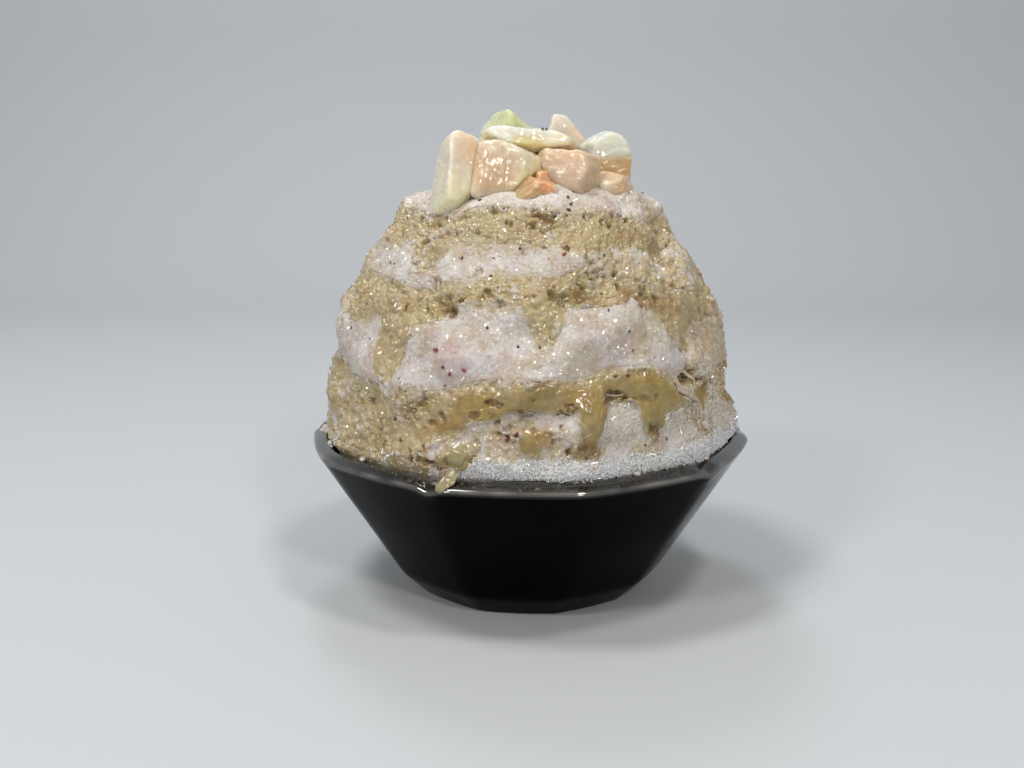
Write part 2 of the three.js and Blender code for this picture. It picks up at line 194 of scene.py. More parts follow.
def newMaterial(name):
    material = bpy.data.materials.new(name)
    material.use_nodes = True
    tree = material.node_tree
    tree.nodes.clear()
    shader = addNode(tree, "ShaderNodeBsdfPrincipled", out=None)
    addNode(tree, "ShaderNodeOutputMaterial", {"Surface": shader.outputs[0]}, out=None)
    return material, tree, shader


iceLook = {
    "snow": "#d1ccc9",  # packed snow, hardly tinted by the milk in it
    "snowShade": "#b8a99c",
    "sauce": "#b7a47b",  # soaked ice where it stands proud
    "pit": "#8a6c40",  # sauce standing in the pits, darker also as painted shade of the pits and gaps
    "thickSauce": "#a18c55",  # sauce that has run smooth
    # thick sauce in the pits, darker also as painted shade
    "thickPit": "#8a7043",
    "berry": "#b8989a",  # pink that bleeds from berry flecks
    "berryShare": 0.42,
    "frostAndGlint": "#fffdf6",  # pale frost in the middles of some grains, which also paints glints
    "frostAndGlintShare": 0.85,
    "gap": "#857a6c",  # wet gaps between crystals
    "gapShare": 0.34,
    "jitter": 0.3,  # how unevenly single grains take up sauce
    "facetLean": 0.75,  # how far the faces of the grains lean
    "crystal": 0.75,  # mm, grains and their faces
    # mm, detail and roughness of each pattern
    "patterns": {
        "mottle": (7, 5, 0.62),  # cloudy patches
        "fibre": (0.8, 3, 0.7),  # frost fibres
        "tint": (6, 2, 0.5),  # patches that lean to green or to pink
        "cluster": (4, 3, 0.5),  # places where the painted glints gather
        "pore": (0.4, 2, 0.5),  # the finest roughness
    },
}


def wetShavedIce(name, look):
    # Shaved ice, wet with melt water and milk sauce: a matt white or tan body that light enters a little way,
    # under a film of water with flat crystal faces that flash one by one. Thick sauce is smooth and glossy.
    material, tree, shader = newMaterial(name)
    place = addNode(tree, "ShaderNodeTexCoord", out="Object")
    syrup, browningAndShade, smoothed, berry = (
        addNode(tree, "ShaderNodeAttribute", out="Fac", attribute_name=label)
        for label in ("syrup", "browningAndShade", "smoothed", "berry")
    )
    mottle, fibre, tint, cluster, pore = (
        addNode(
            tree, "ShaderNodeTexNoise",
            {"Vector": place, "Scale": 1 / (size * mm), "Detail": detail, "Roughness": roughness},
        )
        for size, detail, roughness in look["patterns"].values()
    )
    crystals = addNode(
        tree, "ShaderNodeTexVoronoi", {"Vector": place, "Scale": 1 / (look["crystal"] * mm)}, out=None
    ).outputs
    # three values that every grain has of its own
    own = addNode(tree, "ShaderNodeSeparateColor", {"Color": crystals["Color"]}, out=None).outputs
    middle = addNode(
        tree, "ShaderNodeMapRange", {"Value": crystals["Distance"], "From Min": 0.4, "From Max": 0.28}
    )
    loose = addNode(tree, "ShaderNodeMath", {0: 1.0, 1: smoothed}, operation="SUBTRACT", use_clamp=True)

    # white snow, cloudy, with pink from the berries
    cloud = addNode(tree, "ShaderNodeMix", {0: 0.28, 2: mottle, 3: fibre})
    cloud = addNode(tree, "ShaderNodeMapRange", {"Value": cloud, "From Min": 0.38, "From Max": 0.56})
    snow = addNode(
        tree, "ShaderNodeMix", {0: cloud, 6: linear(look["snowShade"]), 7: linear(look["snow"])},
        out=2, data_type="RGBA",
    )
    pink = addNode(tree, "ShaderNodeMath", {0: berry, 1: look["berryShare"]}, operation="MULTIPLY")
    snow = addNode(
        tree, "ShaderNodeMix", {0: pink, 6: snow, 7: linear(look["berry"])}, out=2, data_type="RGBA"
    )

    # sauce, soaked in or thick, darker in the pits and hollows: gathered sauce, and painted shade
    soaked, thick = (
        addNode(
            tree, "ShaderNodeMix", {0: browningAndShade, 6: linear(look[raised]), 7: linear(look[sunk])},
            out=2, data_type="RGBA",
        )
        for raised, sunk in (("sauce", "pit"), ("thickSauce", "thickPit"))
    )
    sauce = addNode(tree, "ShaderNodeMix", {0: smoothed, 6: soaked, 7: thick}, out=2, data_type="RGBA")
    jitter = addNode(tree, "ShaderNodeMath", {0: own[2], 1: loose}, operation="MULTIPLY")
    share = addNode(
        tree, "ShaderNodeMath", {0: jitter, 1: look["jitter"], 2: syrup}, operation="MULTIPLY_ADD"
    )
    share = addNode(tree, "ShaderNodeMapRange", {"Value": share, "From Min": 0.12, "From Max": 1.0})
    colour = addNode(tree, "ShaderNodeMix", {0: share, 6: snow, 7: sauce}, out=2, data_type="RGBA")

    # patches lean to green or pink, and no two grains are equally bright
    hue, saturation, value = (
        addNode(
            tree, "ShaderNodeMapRange",
            {"Value": source, "From Min": low, "From Max": high, "To Min": toLow, "To Max": toHigh},
        )
        for source, low, high, toLow, toHigh in (
            (tint, 0.36, 0.64, 0.491, 0.508), (mottle, 0.3, 0.7, 1.14, 0.9), (own[0], 0, 1, 0.9, 1.1),
        )
    )
    colour = addNode(
        tree, "ShaderNodeHueSaturation",
        {"Hue": hue, "Saturation": saturation, "Value": value, "Color": colour},
    )

    # painted glints of pale frost on some grains, and dark grains, each marked in its middle
    frostAndGlintMark = addNode(
        tree, "ShaderNodeMapRange",
        {"Value": own[1], "From Min": 0.78, "From Max": 0.84, "To Max": look["frostAndGlintShare"]},
    )
    frostAndGlintMark = addNode(
        tree, "ShaderNodeMapRange", {"Value": cluster, "From Min": 0.44, "From Max": 0.58, "To Max": frostAndGlintMark}
    )
    dark = addNode(
        tree, "ShaderNodeMapRange",
        {"Value": own[1], "From Min": 0.06, "From Max": 0.03, "To Max": look["gapShare"]},
    )
    grain = addNode(tree, "ShaderNodeMath", {0: middle, 1: loose}, operation="MULTIPLY")
    for strength, key in ((frostAndGlintMark, "frostAndGlint"), (dark, "gap")):
        share = addNode(tree, "ShaderNodeMath", {0: strength, 1: grain}, operation="MULTIPLY")
        colour = addNode(
            tree, "ShaderNodeMix", {0: share, 6: colour, 7: linear(look[key])}, out=2, data_type="RGBA"
        )

    # the water film lies flat on each crystal face, so faces flash one by one
    relief = addNode(tree, "ShaderNodeBump", {"Strength": 0.35, "Distance": 0.2 * mm, "Height": pore})
    lean = look["facetLean"]
    facets = addNode(
        tree, "ShaderNodeVectorMath", {0: crystals["Color"], 1: (2 * lean,) * 3, 2: (-lean,) * 3},
        operation="MULTIPLY_ADD",
    )
    facets = addNode(tree, "ShaderNodeVectorMath", {0: facets, 3: loose}, operation="SCALE")
    flat = addNode(tree, "ShaderNodeNewGeometry", out="Normal")
    turned = addNode(tree, "ShaderNodeVectorMath", {0: facets, 1: flat}, operation="ADD")
    flash = addNode(tree, "ShaderNodeVectorMath", {0: turned}, operation="NORMALIZE")

    roughness = addNode(tree, "ShaderNodeMapRange", {"Value": syrup, "To Min": 0.6, "To Max": 0.42})
    film = addNode(tree, "ShaderNodeMapRange", {"Value": syrup, "To Min": 0.5, "To Max": 1.0})
    film = addNode(
        tree, "ShaderNodeMath", {0: smoothed, 1: -0.5, 2: film}, operation="MULTIPLY_ADD", use_clamp=True
    )
    feed(tree, shader, {
        "Base Color": colour, "Roughness": roughness, "IOR": 1.33, "Normal": relief,
        "Subsurface Weight": 0.25, "Subsurface Radius": (1.0, 0.85, 0.7), "Subsurface Scale": 1.0 * mm,
        "Coat Weight": film, "Coat Roughness": 0.05, "Coat IOR": 1.7, "Coat Normal": flash,
    })
    return material


# pool and speck are the sizes of the wavering in the glaze, in mm
glazeLook = {
    # the second colour is the grey of thin glaze on the lip's edges, also a painted highlight
    "colour": "#020202", "thinGlazeAndHighlightColour": "#78746e", "roughness": (0.07, 0.16), "pool": 9, "speck": 0.7,
    "lipShine": 2.9,  # IOR of the thick glaze on the lip
}


def blackGlaze():
    # Stoneware under a glossy black glaze: reflections as sharp as in ink, wavering a little where the glaze
    # pooled, and grey where it has run thin on the edges of the lip, the grey also painting highlight lines
    # there.
    material, tree, shader = newMaterial("black glazed stoneware")
    place = addNode(tree, "ShaderNodeTexCoord", out="Object")
    pool, speck = (
        addNode(
            tree, "ShaderNodeTexNoise",
            {"Vector": place, "Scale": 1 / (glazeLook[key] * mm), "Detail": detail},
        )
        for key, detail in (("pool", 2), ("speck", 1))
    )
    wave = addNode(tree, "ShaderNodeBump", {"Strength": 0.12, "Distance": 0.5 * mm, "Height": pool})
    pitted = addNode(
        tree, "ShaderNodeBump", {"Strength": 0.03, "Distance": 0.1 * mm, "Height": speck, "Normal": wave}
    )
    smoothest, roughest = glazeLook["roughness"]
    rough = addNode(
        tree, "ShaderNodeMapRange",
        {"Value": pool, "From Min": 0.3, "From Max": 0.7, "To Min": smoothest, "To Max": roughest},
    )
    # the grey of thin glaze on the lip's edges, which also paints highlight lines there
    thinGlazeAndHighlight, lip = (
        addNode(tree, "ShaderNodeAttribute", out="Fac", attribute_name=label) for label in ("thinGlazeAndHighlight", "lip")
    )
    colour = addNode(
        tree, "ShaderNodeMix", {0: thinGlazeAndHighlight, 6: linear(glazeLook["colour"]), 7: linear(glazeLook["thinGlazeAndHighlightColour"])},
        out=2, data_type="RGBA",
    )
    feed(tree, shader, {
        "Base Color": colour, "Roughness": rough, "Normal": pitted, "IOR": 1.45, "Specular IOR Level": 0.03,
        "Coat Weight": lip, "Coat Roughness": 0.08, "Coat IOR": glazeLook["lipShine"],
    })
    return material


fleshLook = {
    "fibre": 0.9, "cloud": 4, "beads": 1.5, "facet": 0.9,  # sizes in mm
    "stretch": 0.15,  # how long the fibres are drawn: 1 would be round grains
    "mottling": 0.32,  # how far the two colours run into each other
    "lit": "#f4eedd",  # painted light on thin edges and corners, and the pale colour of the fibre threads
    "facetLean": 0.7,  # how far the wet faces lean
}


def cutPeach(name, piece, way):
    # Raw peach flesh, cut and wet: pale and watery, so light shows through thin places, with fibres that run
    # through it and a film of juice. The attributes edge and glow turn it towards a second and a third colour
    # on given sides of each piece, and one more attribute paints light on its edges and corners.
    material, tree, shader = newMaterial(name)
    place = addNode(tree, "ShaderNodeTexCoord", out="Object")
    turned = Vector(way).to_track_quat("Z", "Y").inverted().to_euler()
    grain = addNode(tree, "ShaderNodeMapping", {"Vector": place, "Rotation": turned})
    grain = addNode(tree, "ShaderNodeMapping", {"Vector": grain, "Scale": (1, 1, fleshLook["stretch"])})
    fibre, cloud, beads = (
        addNode(
            tree, "ShaderNodeTexNoise",
            {"Vector": vector, "Scale": 1 / (fleshLook[key] * mm), "Detail": detail, "Roughness": roughness},
        )
        for vector, key, detail, roughness in (
            (grain, "fibre", 3, 0.6), (place, "cloud", 3, 0.5), (place, "beads", 2, 0.5),
        )
    )
    # edge picks the second colour, and the other attribute paints light on edges and corners
    edge, paintedEdgeLight = (
        addNode(tree, "ShaderNodeAttribute", out="Fac", attribute_name=label) for label in ("edge", "paintedEdgeLight")
    )
    mottling = piece.get("mottling", fleshLook["mottling"])
    mottle = addNode(tree, "ShaderNodeMath", {0: fibre, 1: 0.9, 2: cloud}, operation="MULTIPLY_ADD")
    mottle = addNode(
        tree, "ShaderNodeMapRange",
        {"Value": mottle, "From Min": 0.6, "From Max": 1.25, "To Min": -mottling, "To Max": mottling},
    )
    share = addNode(tree, "ShaderNodeMath", {0: edge, 1: mottle}, operation="ADD", use_clamp=True)
    colour = addNode(
        tree, "ShaderNodeMix", {0: share, 6: linear(piece["flesh"]), 7: linear(piece["edge"])},
        out=2, data_type="RGBA",
    )
    if "glow" in piece:
        glow = addNode(tree, "ShaderNodeAttribute", out="Fac", attribute_name="glow")
        colour = addNode(
            tree, "ShaderNodeMix", {0: glow, 6: colour, 7: linear(piece["glow"])}, out=2, data_type="RGBA"
        )
    threads = addNode(
        tree, "ShaderNodeMapRange", {"Value": fibre, "From Min": 0.54, "From Max": 0.72, "To Max": 0.34}
    )
    lit = addNode(tree, "ShaderNodeMath", {0: paintedEdgeLight, 1: threads}, operation="MAXIMUM", use_clamp=True)
    colour = addNode(
        tree, "ShaderNodeMix", {0: lit, 6: colour, 7: linear(fleshLook["lit"])}, out=2, data_type="RGBA"
    )
    relief = addNode(tree, "ShaderNodeBump", {"Strength": 0.5, "Distance": 0.25 * mm, "Height": fibre})
    juice = addNode(
        tree, "ShaderNodeBump", {"Strength": 0.5, "Distance": 0.4 * mm, "Height": beads, "Normal": relief}
    )
    facets = addNode(
        tree, "ShaderNodeTexVoronoi", {"Vector": place, "Scale": 1 / (fleshLook["facet"] * mm)}, out="Color"
    )
    gathered = addNode(
        tree, "ShaderNodeMapRange",
        {"Value": beads, "From Min": 0.44, "From Max": 0.58, "To Min": 0.1, "To Max": 1.0},
    )
    lean = fleshLook["facetLean"]
    facets = addNode(
        tree, "ShaderNodeVectorMath", {0: facets, 1: (2 * lean,) * 3, 2: (-lean,) * 3},
        operation="MULTIPLY_ADD",
    )
    facets = addNode(tree, "ShaderNodeVectorMath", {0: facets, 3: gathered}, operation="SCALE")
    facets = addNode(tree, "ShaderNodeVectorMath", {0: facets, 1: juice}, operation="ADD")
    glints = addNode(tree, "ShaderNodeVectorMath", {0: facets}, operation="NORMALIZE")
    feed(tree, shader, {
        "Base Color": colour, "Roughness": 0.45, "IOR": 1.36, "Specular IOR Level": 0.35, "Normal": relief,
        "Subsurface Weight": 1.0, "Subsurface Radius": (1.0, 0.8, 0.55), "Subsurface Scale": 4.2 * mm,
        "Coat Weight": 1.0, "Coat Roughness": 0.05, "Coat IOR": 1.8, "Coat Normal": glints,
    })
    return material


def cloudedMaterial(name, size, detail, first, second, finish):
    # a material whose colour wanders between two colours in soft clouds, a size in mm across
    material, tree, shader = newMaterial(name)
    place = addNode(tree, "ShaderNodeTexCoord", out="Object")
    cloud = addNode(tree, "ShaderNodeTexNoise", {"Vector": place, "Scale": 1 / (size * mm), "Detail": detail})
    tint = addNode(tree, "ShaderNodeMix", {0: cloud, 6: first, 7: second}, out=2, data_type="RGBA")
    feed(tree, shader, {"Base Color": tint, **finish})
    return material


def clearIce(name, colour, roughness):
    # Loose crystals: small flat faces, bright where they catch the light and see-through at their edges.
    shade = tuple(0.8 * part for part in linear(colour)[:3]) + (1,)
    return cloudedMaterial(name, 2, 2, linear(colour), shade, {
        "Roughness": roughness, "IOR": 1.31, "Transmission Weight": 0.08,
        "Coat Weight": 1.0, "Coat Roughness": 0.05, "Coat IOR": 1.7,
    })


def meltWater():
    # Water: clear, with a hard small highlight and a trace of milk.
    return cloudedMaterial("melt water", 4, 2, linear("#ffffff"), linear("#e9e4d8"), {
        "Roughness": 0.03, "IOR": 1.33, "Transmission Weight": 1.0,
    })


def thinSauce():
    # Milk sauce thinned by melt water: pale yellow, cloudy, half see-through and wet.
    return cloudedMaterial("thinned milk sauce", 1.6, 3, linear("#cdc49a"), linear("#a8986b"), {
        "Roughness": 0.24, "IOR": 1.36, "Transmission Weight": 0.4, "Coat Weight": 0.4,
        "Coat Roughness": 0.12,
    })


def berryFlesh():
    # Dried berry broken small: dark wrinkled skin with raw red breaks.
    material, tree, shader = newMaterial("dried berry flakes")
    place = addNode(tree, "ShaderNodeTexCoord", out="Object")
    skin = addNode(tree, "ShaderNodeAttribute", out="Fac", attribute_name="skin")
    patch = addNode(tree, "ShaderNodeTexNoise", {"Vector": place, "Scale": 1 / (0.8 * mm), "Detail": 2})
    share = addNode(tree, "ShaderNodeMath", {0: skin, 1: patch}, operation="MULTIPLY")
    share = addNode(tree, "ShaderNodeMath", {0: share, 1: 2.4}, operation="MULTIPLY", use_clamp=True)
    colour = addNode(
        tree, "ShaderNodeMix", {0: share, 6: linear("#8e2f3c"), 7: linear("#453230")}, out=2, data_type="RGBA"
    )
    feed(tree, shader, {"Base Color": colour, "Roughness": 0.4})
    return material


iceMaterial = wetShavedIce("wet shaved ice", iceLook)
# The crown's ice is a copy warmed by peach juice and painted lighter, as the lit top of the heap.
stainedLitCrownLook = {**iceLook, "snow": "#dbd4cd", "snowShade": "#cabaab"}
stainedLitCrownMaterial = wetShavedIce("shaved ice stained by peach and painted lighter", stainedLitCrownLook)
glazeMaterial = blackGlaze()

bowl = {
    "rimRadius": 76,
    "lipHeight": 53.8,
    "lipWidth": 5.2,
    "lipFall": 2.2,
    "wall": 4.8,
    "coneRadius": 48.2,
    "coneHeight": 8,
    "footRadius": 39.6,
    "footWidth": 8,
    "footRecess": 2.4,
    "floor": 7,
    "sides": 10,
    "firstCorner": -23,
    "sideDepth": 0.55,  # 0 is round, 1 has flat sides
    "cornerSoftness": 2.6,  # degrees either way that round each corner off
    "nickDepth": 1.3,  # the lip dips at every second corner
    "nickHalf": 2.6,  # degrees
    "waver": 0.12,  # unevenness of the hand-made wall
    "columns": 480,
    "rowStep": 2.2,
}


def bowlRoundness(angle):
    side = 360 / bowl["sides"]
    soft = bowl["cornerSoftness"]
    leans = (-1, -0.5, 0, 0.5, 1)  # averaged, so that the corners come out round
    total = 0
    for lean in leans:
        fromCorner = (angle + lean * soft - bowl["firstCorner"]) % side
        flat = math.cos(math.radians(side / 2)) / np.cos(np.radians(fromCorner - side / 2))
        total = total + (1 - bowl["sideDepth"] * (1 - flat)) / len(leans)
    return total


def closedSkin(rows, columns):
    # a sheet of squares rolled up round Z and sewn shut along its seam and at both poles; each vertex keeps
    # its own row and column
    bm = bmesh.new()
    bmesh.ops.create_grid(bm, x_segments=columns, y_segments=rows, size=0.5)
    for vert in bm.verts:
        turn = 2 * math.pi * (vert.co.x + 0.5)
        row = round((vert.co.y + 0.5) * rows)
        radius = 0 if row in (0, rows) else 1
        vert.co = (radius * math.cos(turn), radius * math.sin(turn), row)
    sewn = [vert for vert in bm.verts if vert.is_boundary]
    bmesh.ops.remove_doubles(bm, verts=sewn, dist=1e-4)
    bmesh.ops.recalc_face_normals(bm, faces=bm.faces)
    mesh = bpy.data.meshes.new("skin")
    bm.to_mesh(mesh)
    bm.free()
    grid = readPoints(mesh)
    row = np.rint(grid[:, 2]).astype(int)
    column = np.rint(np.degrees(np.arctan2(grid[:, 1], grid[:, 0])) * columns / 360).astype(int) % columns
    return mesh, row, column


def around(radius, angle, height):
    turn = np.radians(angle)
    return np.stack([radius * np.sin(turn), -radius * np.cos(turn), height], axis=1)


def buildBowl():
    b = bowl
    edge = b["lipHeight"] - b["lipFall"]
    inner = b["rimRadius"] - b["lipWidth"]
    footInner = b["footRadius"] - b["footWidth"]
    corners = [
        (0, b["footRecess"], 0),
        (footInner - 1.4, b["footRecess"], 0.8),
        (footInner, 0, 0.5),
        (b["footRadius"] - 0.2, 0, 0.7),
        (b["coneRadius"], b["coneHeight"], 2.2),
        (b["rimRadius"] - 1.2, edge - 2.4, 0.6),
        (b["rimRadius"], edge - 0.5, 0.5),
        (b["rimRadius"] - 0.7, edge + 0.35, 0.4),
        (inner + 0.7, b["lipHeight"], 0.6),
        (inner - 0.3, b["lipHeight"] - 1.6, 0.7),
        (b["coneRadius"] - b["wall"] + 2.5, b["floor"] + 6, 5),
        (b["coneRadius"] - b["wall"] - 8, b["floor"], 5),
        (0, b["floor"], 0),
    ]
    section = roundedSection(corners)
    path = [section[0]]
    for start, stop in zip(section, section[1:]):
        pieces = max(1, math.ceil((stop - start).length / b["rowStep"]))
        path += [start.lerp(stop, (step + 1) / pieces) for step in range(pieces)]
    radius, height = np.array(path).T
    mesh, row, column = closedSkin(len(path) - 1, b["columns"])
    angle = column * 360 / b["columns"]
    r = radius[row] * bowlRoundness(angle)
    z = height[row].copy()
    spacing = 720 / b["sides"]
    turn = degreesApart(angle, b["firstCorner"])
    nearest = turn - spacing * np.rint(turn / spacing)
    nick = b["nickDepth"] * np.exp(-((nearest / b["nickHalf"]) ** 2))
    z -= nick * smooth(z, edge - 5, edge)
    points = around(r, angle, z)
    onWall = smooth(z, 2, 10) * smooth(edge - z, -1, 6)
    r += b["waver"] * onWall * (softNoise(points, 22, 3) + 0.4 * softNoise(points, 8, 4) - 1)
    writePoints(mesh, around(r, angle, z) * mm)
    # grey thin glaze on the lip's outer edge and along the inside of its top, which also paints highlight
    # lines there
    outer = np.hypot(radius[row] - b["rimRadius"] + 0.5, height[row] - edge)
    top = np.hypot(radius[row] - inner - 0.7, height[row] - b["lipHeight"])
    thinGlazeAndHighlight = np.exp(-((outer / 0.7) ** 2)) + 0.6 * np.exp(-((top / 0.7) ** 2))
    onLip = smooth(height[row], edge - 1.3, edge - 0.3) * smooth(radius[row], inner - 1.2, inner - 0.4)
    writeValues(mesh, "lip", onLip * mix(0.42, 1, smooth(np.abs(degreesApart(angle, 0)), 25, 70)))
    writeValues(mesh, "thinGlazeAndHighlight", np.clip(thinGlazeAndHighlight * (0.6 + 0.5 * softNoise(points, 5, 5)), 0, 1))
    return newPiece("glazed_bowl", mesh, glazeMaterial, ["bowl"])


buildBowl()
print("bowl done")

heap = {
    # radius and height from the lip to the middle of the top
    "outline": [
        (69.8, 53), (70.6, 57.5), (68.6, 67), (67.1, 80), (64.4, 92), (59.4, 104.5),
        (50.4, 118), (42.4, 130), (34.5, 136.4), (20, 138.6), (0, 139),
    ],
    "columns": 1040,
    "rowStep": 0.42,
    "lumpSeed": 7,
    "lumpWaves": 16,
    "lumpHeight": 0.28,
    "mostTurns": 16,
    "shortestWave": 13,
    "longestWave": 34,
    "thinnestLayer": 2.4,
    "lowestSeam": 57.2,
    "seamRing": 0.86,
    "bowlGap": 0.3,
}

# The outside edges between the layers, from the top down: swells are broad and runs are tongues of sauce,
# each given by its angle, half width in degrees and height in mm.
seams = {
    "crownFoot": {
        "height": 130.2, "rise": 0,
        "swells": [(-8, 15, 1.2), (-40, 13, -1.4), (65, 24, -3), (150, 26, 2), (230, 22, -2)],
        "runs": [],
    },
    "upperSauceFoot": {
        "height": 121.8, "rise": 5,
        "swells": [(56, 16, -3.4)],
        "runs": [(-37, 8, -8), (21, 9, -2.6), (112, 8, -5), (158, 7, -7), (214, 9, -4), (262, 8, -6)],
    },
    "upperIceFoot": {
        "height": 110.8, "rise": 6,
        "swells": [(8, 22, 2.4), (-40, 14, -1.8), (56, 18, -5), (140, 20, 2), (205, 18, -3)],
        "runs": [],
    },
    "middleSauceFoot": {
        "height": 104.2, "rise": 6.5,
        "swells": [(-63, 14, -7), (-33, 9, -6), (60, 20, -8)],
        "runs": [
            (-41, 6, -21), (4.6, 5, -9), (46, 7, -6), (104, 7, -11), (131, 6, -6), (176, 7, -13),
            (221, 7, -8), (252, 6, -14),
        ],
    },
    "middleIceFoot": {
        "height": 82, "rise": 8,
        "swells": [(2, 18, 2), (-38, 20, -3.4), (28, 11, 4.4), (52, 14, -2), (120, 24, 3), (196, 22, -3)],
        "runs": [],
    },
    "lowerSauceFoot": {
        "height": 70.6, "rise": 8,
        "swells": [(-46, 26, -13), (2, 12, 3.4), (24, 7, 5.4), (196, 16, -8)],
        "runs": [
            (16, 2.8, -10.6), (32.6, 3.2, -8), (52.6, 4.6, -9), (84, 6, -7), (108, 7, -10), (141, 7, -8),
            (232, 6, -9), (260, 7, -10),
        ],
    },
}
seamNames = list(seams)

# Hollows that melting has left: angle, height, half width in degrees, half height and depth.
hollows = [
    (24, 76.5, 6.5, 5, 3), (2, 73, 8, 3.4, 2.6), (46, 80.5, 5, 4.5, 3), (-26, 103, 4.5, 3.4, 2.2),
    (17, 106.5, 5, 3, 1.8), (-36, 117, 5, 3.4, 2), (96, 74, 6, 4.5, 3.4), (150, 101, 6, 4, 2.6),
    (187, 76, 7, 4, 3.4), (243, 99, 6, 4, 2.4), (80, 132, 40, 9, 1.8), (-88, 136, 40, 4, 3.4),
    (-90, 80, 30, 9, 2.2), (-90, 104, 28, 8, 1.2), (88, 79, 26, 9, 1.6), (88, 69, 22, 6, 3.0),
]

outline = smoothCurve(np.array(heap["outline"]), 40)
travelled = np.concatenate([[0], np.cumsum(np.hypot(*np.diff(outline, axis=0).T))])
heading = np.gradient(outline, travelled, axis=0)


def lumpWaves():
    # the same uneven waves as the solid has, drawn once from a seed
    state = heap["lumpSeed"]
    waves = []
    for _ in range(heap["lumpWaves"]):
        draws = []
        for _ in range(4):
            state = (state * 1664525 + 1013904223) % 4294967296
            draws.append(state / 4294967296)
        turns = math.floor(mix(2, heap["mostTurns"], draws[0]) + 0.5)
        length = mix(heap["shortestWave"], heap["longestWave"], draws[1])
        waves.append((turns, (-1 if draws[2] < 0.5 else 1) * 2 * math.pi / length, 2 * math.pi * draws[3]))
    return waves


waves = lumpWaves()


def broadRelief(angle, height):
    turn = np.radians(angle)
    lumps = sum(np.cos(turns * turn + perMm * height + start) for turns, perMm, start in waves)
    dips = sum(hollow[4] * np.exp(-spotDistance(angle, height, hollow)) for hollow in hollows)
    return heap["lumpHeight"] * lumps - dips


def seamLevel(name, angle):
    seam = seams[name]
    return seam["height"] + sum(by * bump(degreesApart(angle, at), half) for at, half, by in seam["swells"])


def seamEdges(angle):
    # the heights of all seams on the outside, from the top down, kept in order
    edges = {}
    limit = np.full_like(angle, 999.0)
    for name in seamNames:
        runs = [by * bump(degreesApart(angle, at), half) for at, half, by in seams[name]["runs"]]
        drop = np.minimum.reduce([np.zeros_like(angle)] + runs)
        level = np.maximum(seamLevel(name, angle) + drop, heap["lowestSeam"])
        limit = np.minimum(level, limit - heap["thinnestLayer"])
        edges[name] = limit
    return edges


def heapPoints(angle, along, lift=0):
    # places on the heap, a distance along its outline from the lip, lifted off its surface
    r = np.interp(along, travelled, outline[:, 0])
    z = np.interp(along, travelled, outline[:, 1])
    outward = np.interp(along, travelled, heading[:, 1])
    upward = -np.interp(along, travelled, heading[:, 0])
    lip = bowl["lipHeight"]
    roundness = mix(bowlRoundness(angle), 1, smooth(z, lip, lip + 22))
    loose = smooth(z, lip + 0.5, lip + 7)
    push = loose * broadRelief(angle, z) + lift
    return around(r * roundness + push * outward, angle, z + push * upward), z


# What the sauce does to each band. sink: how far its soaked grains have slumped; flow: thickness of the
# smooth sauce that has run over it; fade: mm over which its foot soaks away; deep: how brown it is.
bands = [
    {"top": "crownFoot", "foot": "upperSauceFoot", "sink": 0.9, "flow": 0.0, "fade": 3.0, "deep": 0.05},
    {"top": "upperIceFoot", "foot": "middleSauceFoot", "sink": 0.9, "flow": 0.35, "fade": 3.0, "deep": 0.1},
    {"top": "middleIceFoot", "foot": "lowerSauceFoot", "sink": 0.0, "flow": 1.5, "fade": 1.2, "deep": 0.26},
]

# Where the lower band is still crumbly and has not run smooth: angle and half width.
crumblyParts = [(-66, 44), (58, 16), (122, 12), (168, 10), (215, 13), (246, 9)]

# Thin sauce that has soaked into the snow, and spots of painted shade under overhangs and in recesses: angle,
# height, half width, half height and strength.
stainsAndShade = [
    (70, 96, 24, 42, 0.66), (50, 98, 8, 12, 0.5), (10, 115, 10, 4, 0.3), (36, 97, 7, 6, 0.4),
    (3, 118, 9, 5, 0.4), (-5, 62.5, 9, 7, 0.6), (54, 114, 7, 9, 0.9), (-84, 106, 16, 14, 0.7),
    (-62, 84, 10, 5, 0.4), (31, 60, 6, 6, 0.55), (6, 65, 14, 7, 0.66), (-26, 63, 16, 8, 0.8),
    (-37, 95, 5, 9, 0.5), (46, 74, 9, 9, 0.42), (30, 113, 10, 6, 0.7), (46, 109, 12, 8, 0.85),
    (-12, 113, 10, 3, 0.3), (24, 96, 12, 7, 0.3), (0, 116, 7, 6, 0.3), (32, 92, 8, 7, 0.28),
    (120, 90, 22, 18, 0.45), (6, 115, 10, 5, 0.34), (10, 91, 14, 7, 0.3), (-58, 56, 44, 6, 1.0),
    (46, 112, 7, 5, 0.8), (28, 117, 12, 8, 0.7), (6, 96, 18, 6, 0.2), (-3, 68.8, 14, 4.5, 0.8),
    (168, 110, 16, 14, 0.5), (206, 86, 20, 12, 0.5), (246, 116, 18, 12, 0.45), (-40, 60, 14, 5, 0.5),
]

# Sauce that is browner than the rest of its band, and spots of painted shade in recesses: angle, height, half
# width, half height and strength.
steepedAndShade = [
    (27, 105, 15, 6, 0.34), (54, 116, 9, 5, 0.6), (-4, 80, 12, 5, 0.24), (21, 79.5, 10, 5, 0.3),
    (10, 106, 8, 4, 0.2), (-41, 93, 5, 10, 0.44), (6, 67, 9, 5, 0.4), (-6, 63.5, 7, 4, 0.4),
    (64, 88, 14, 20, 0.24), (190, 104, 16, 6, 0.34), (250, 78, 16, 5, 0.34),
]

# Pink that has bled from the berry flakes: angle, height, half width and half height.
blushes = [
    (9, 117.6, 9, 4.4), (-20, 88, 9, 6), (-3, 66, 8, 4), (30, 91, 6, 5), (26, 104, 6, 4), (150, 90, 10, 8),
    (230, 88, 9, 8),
]

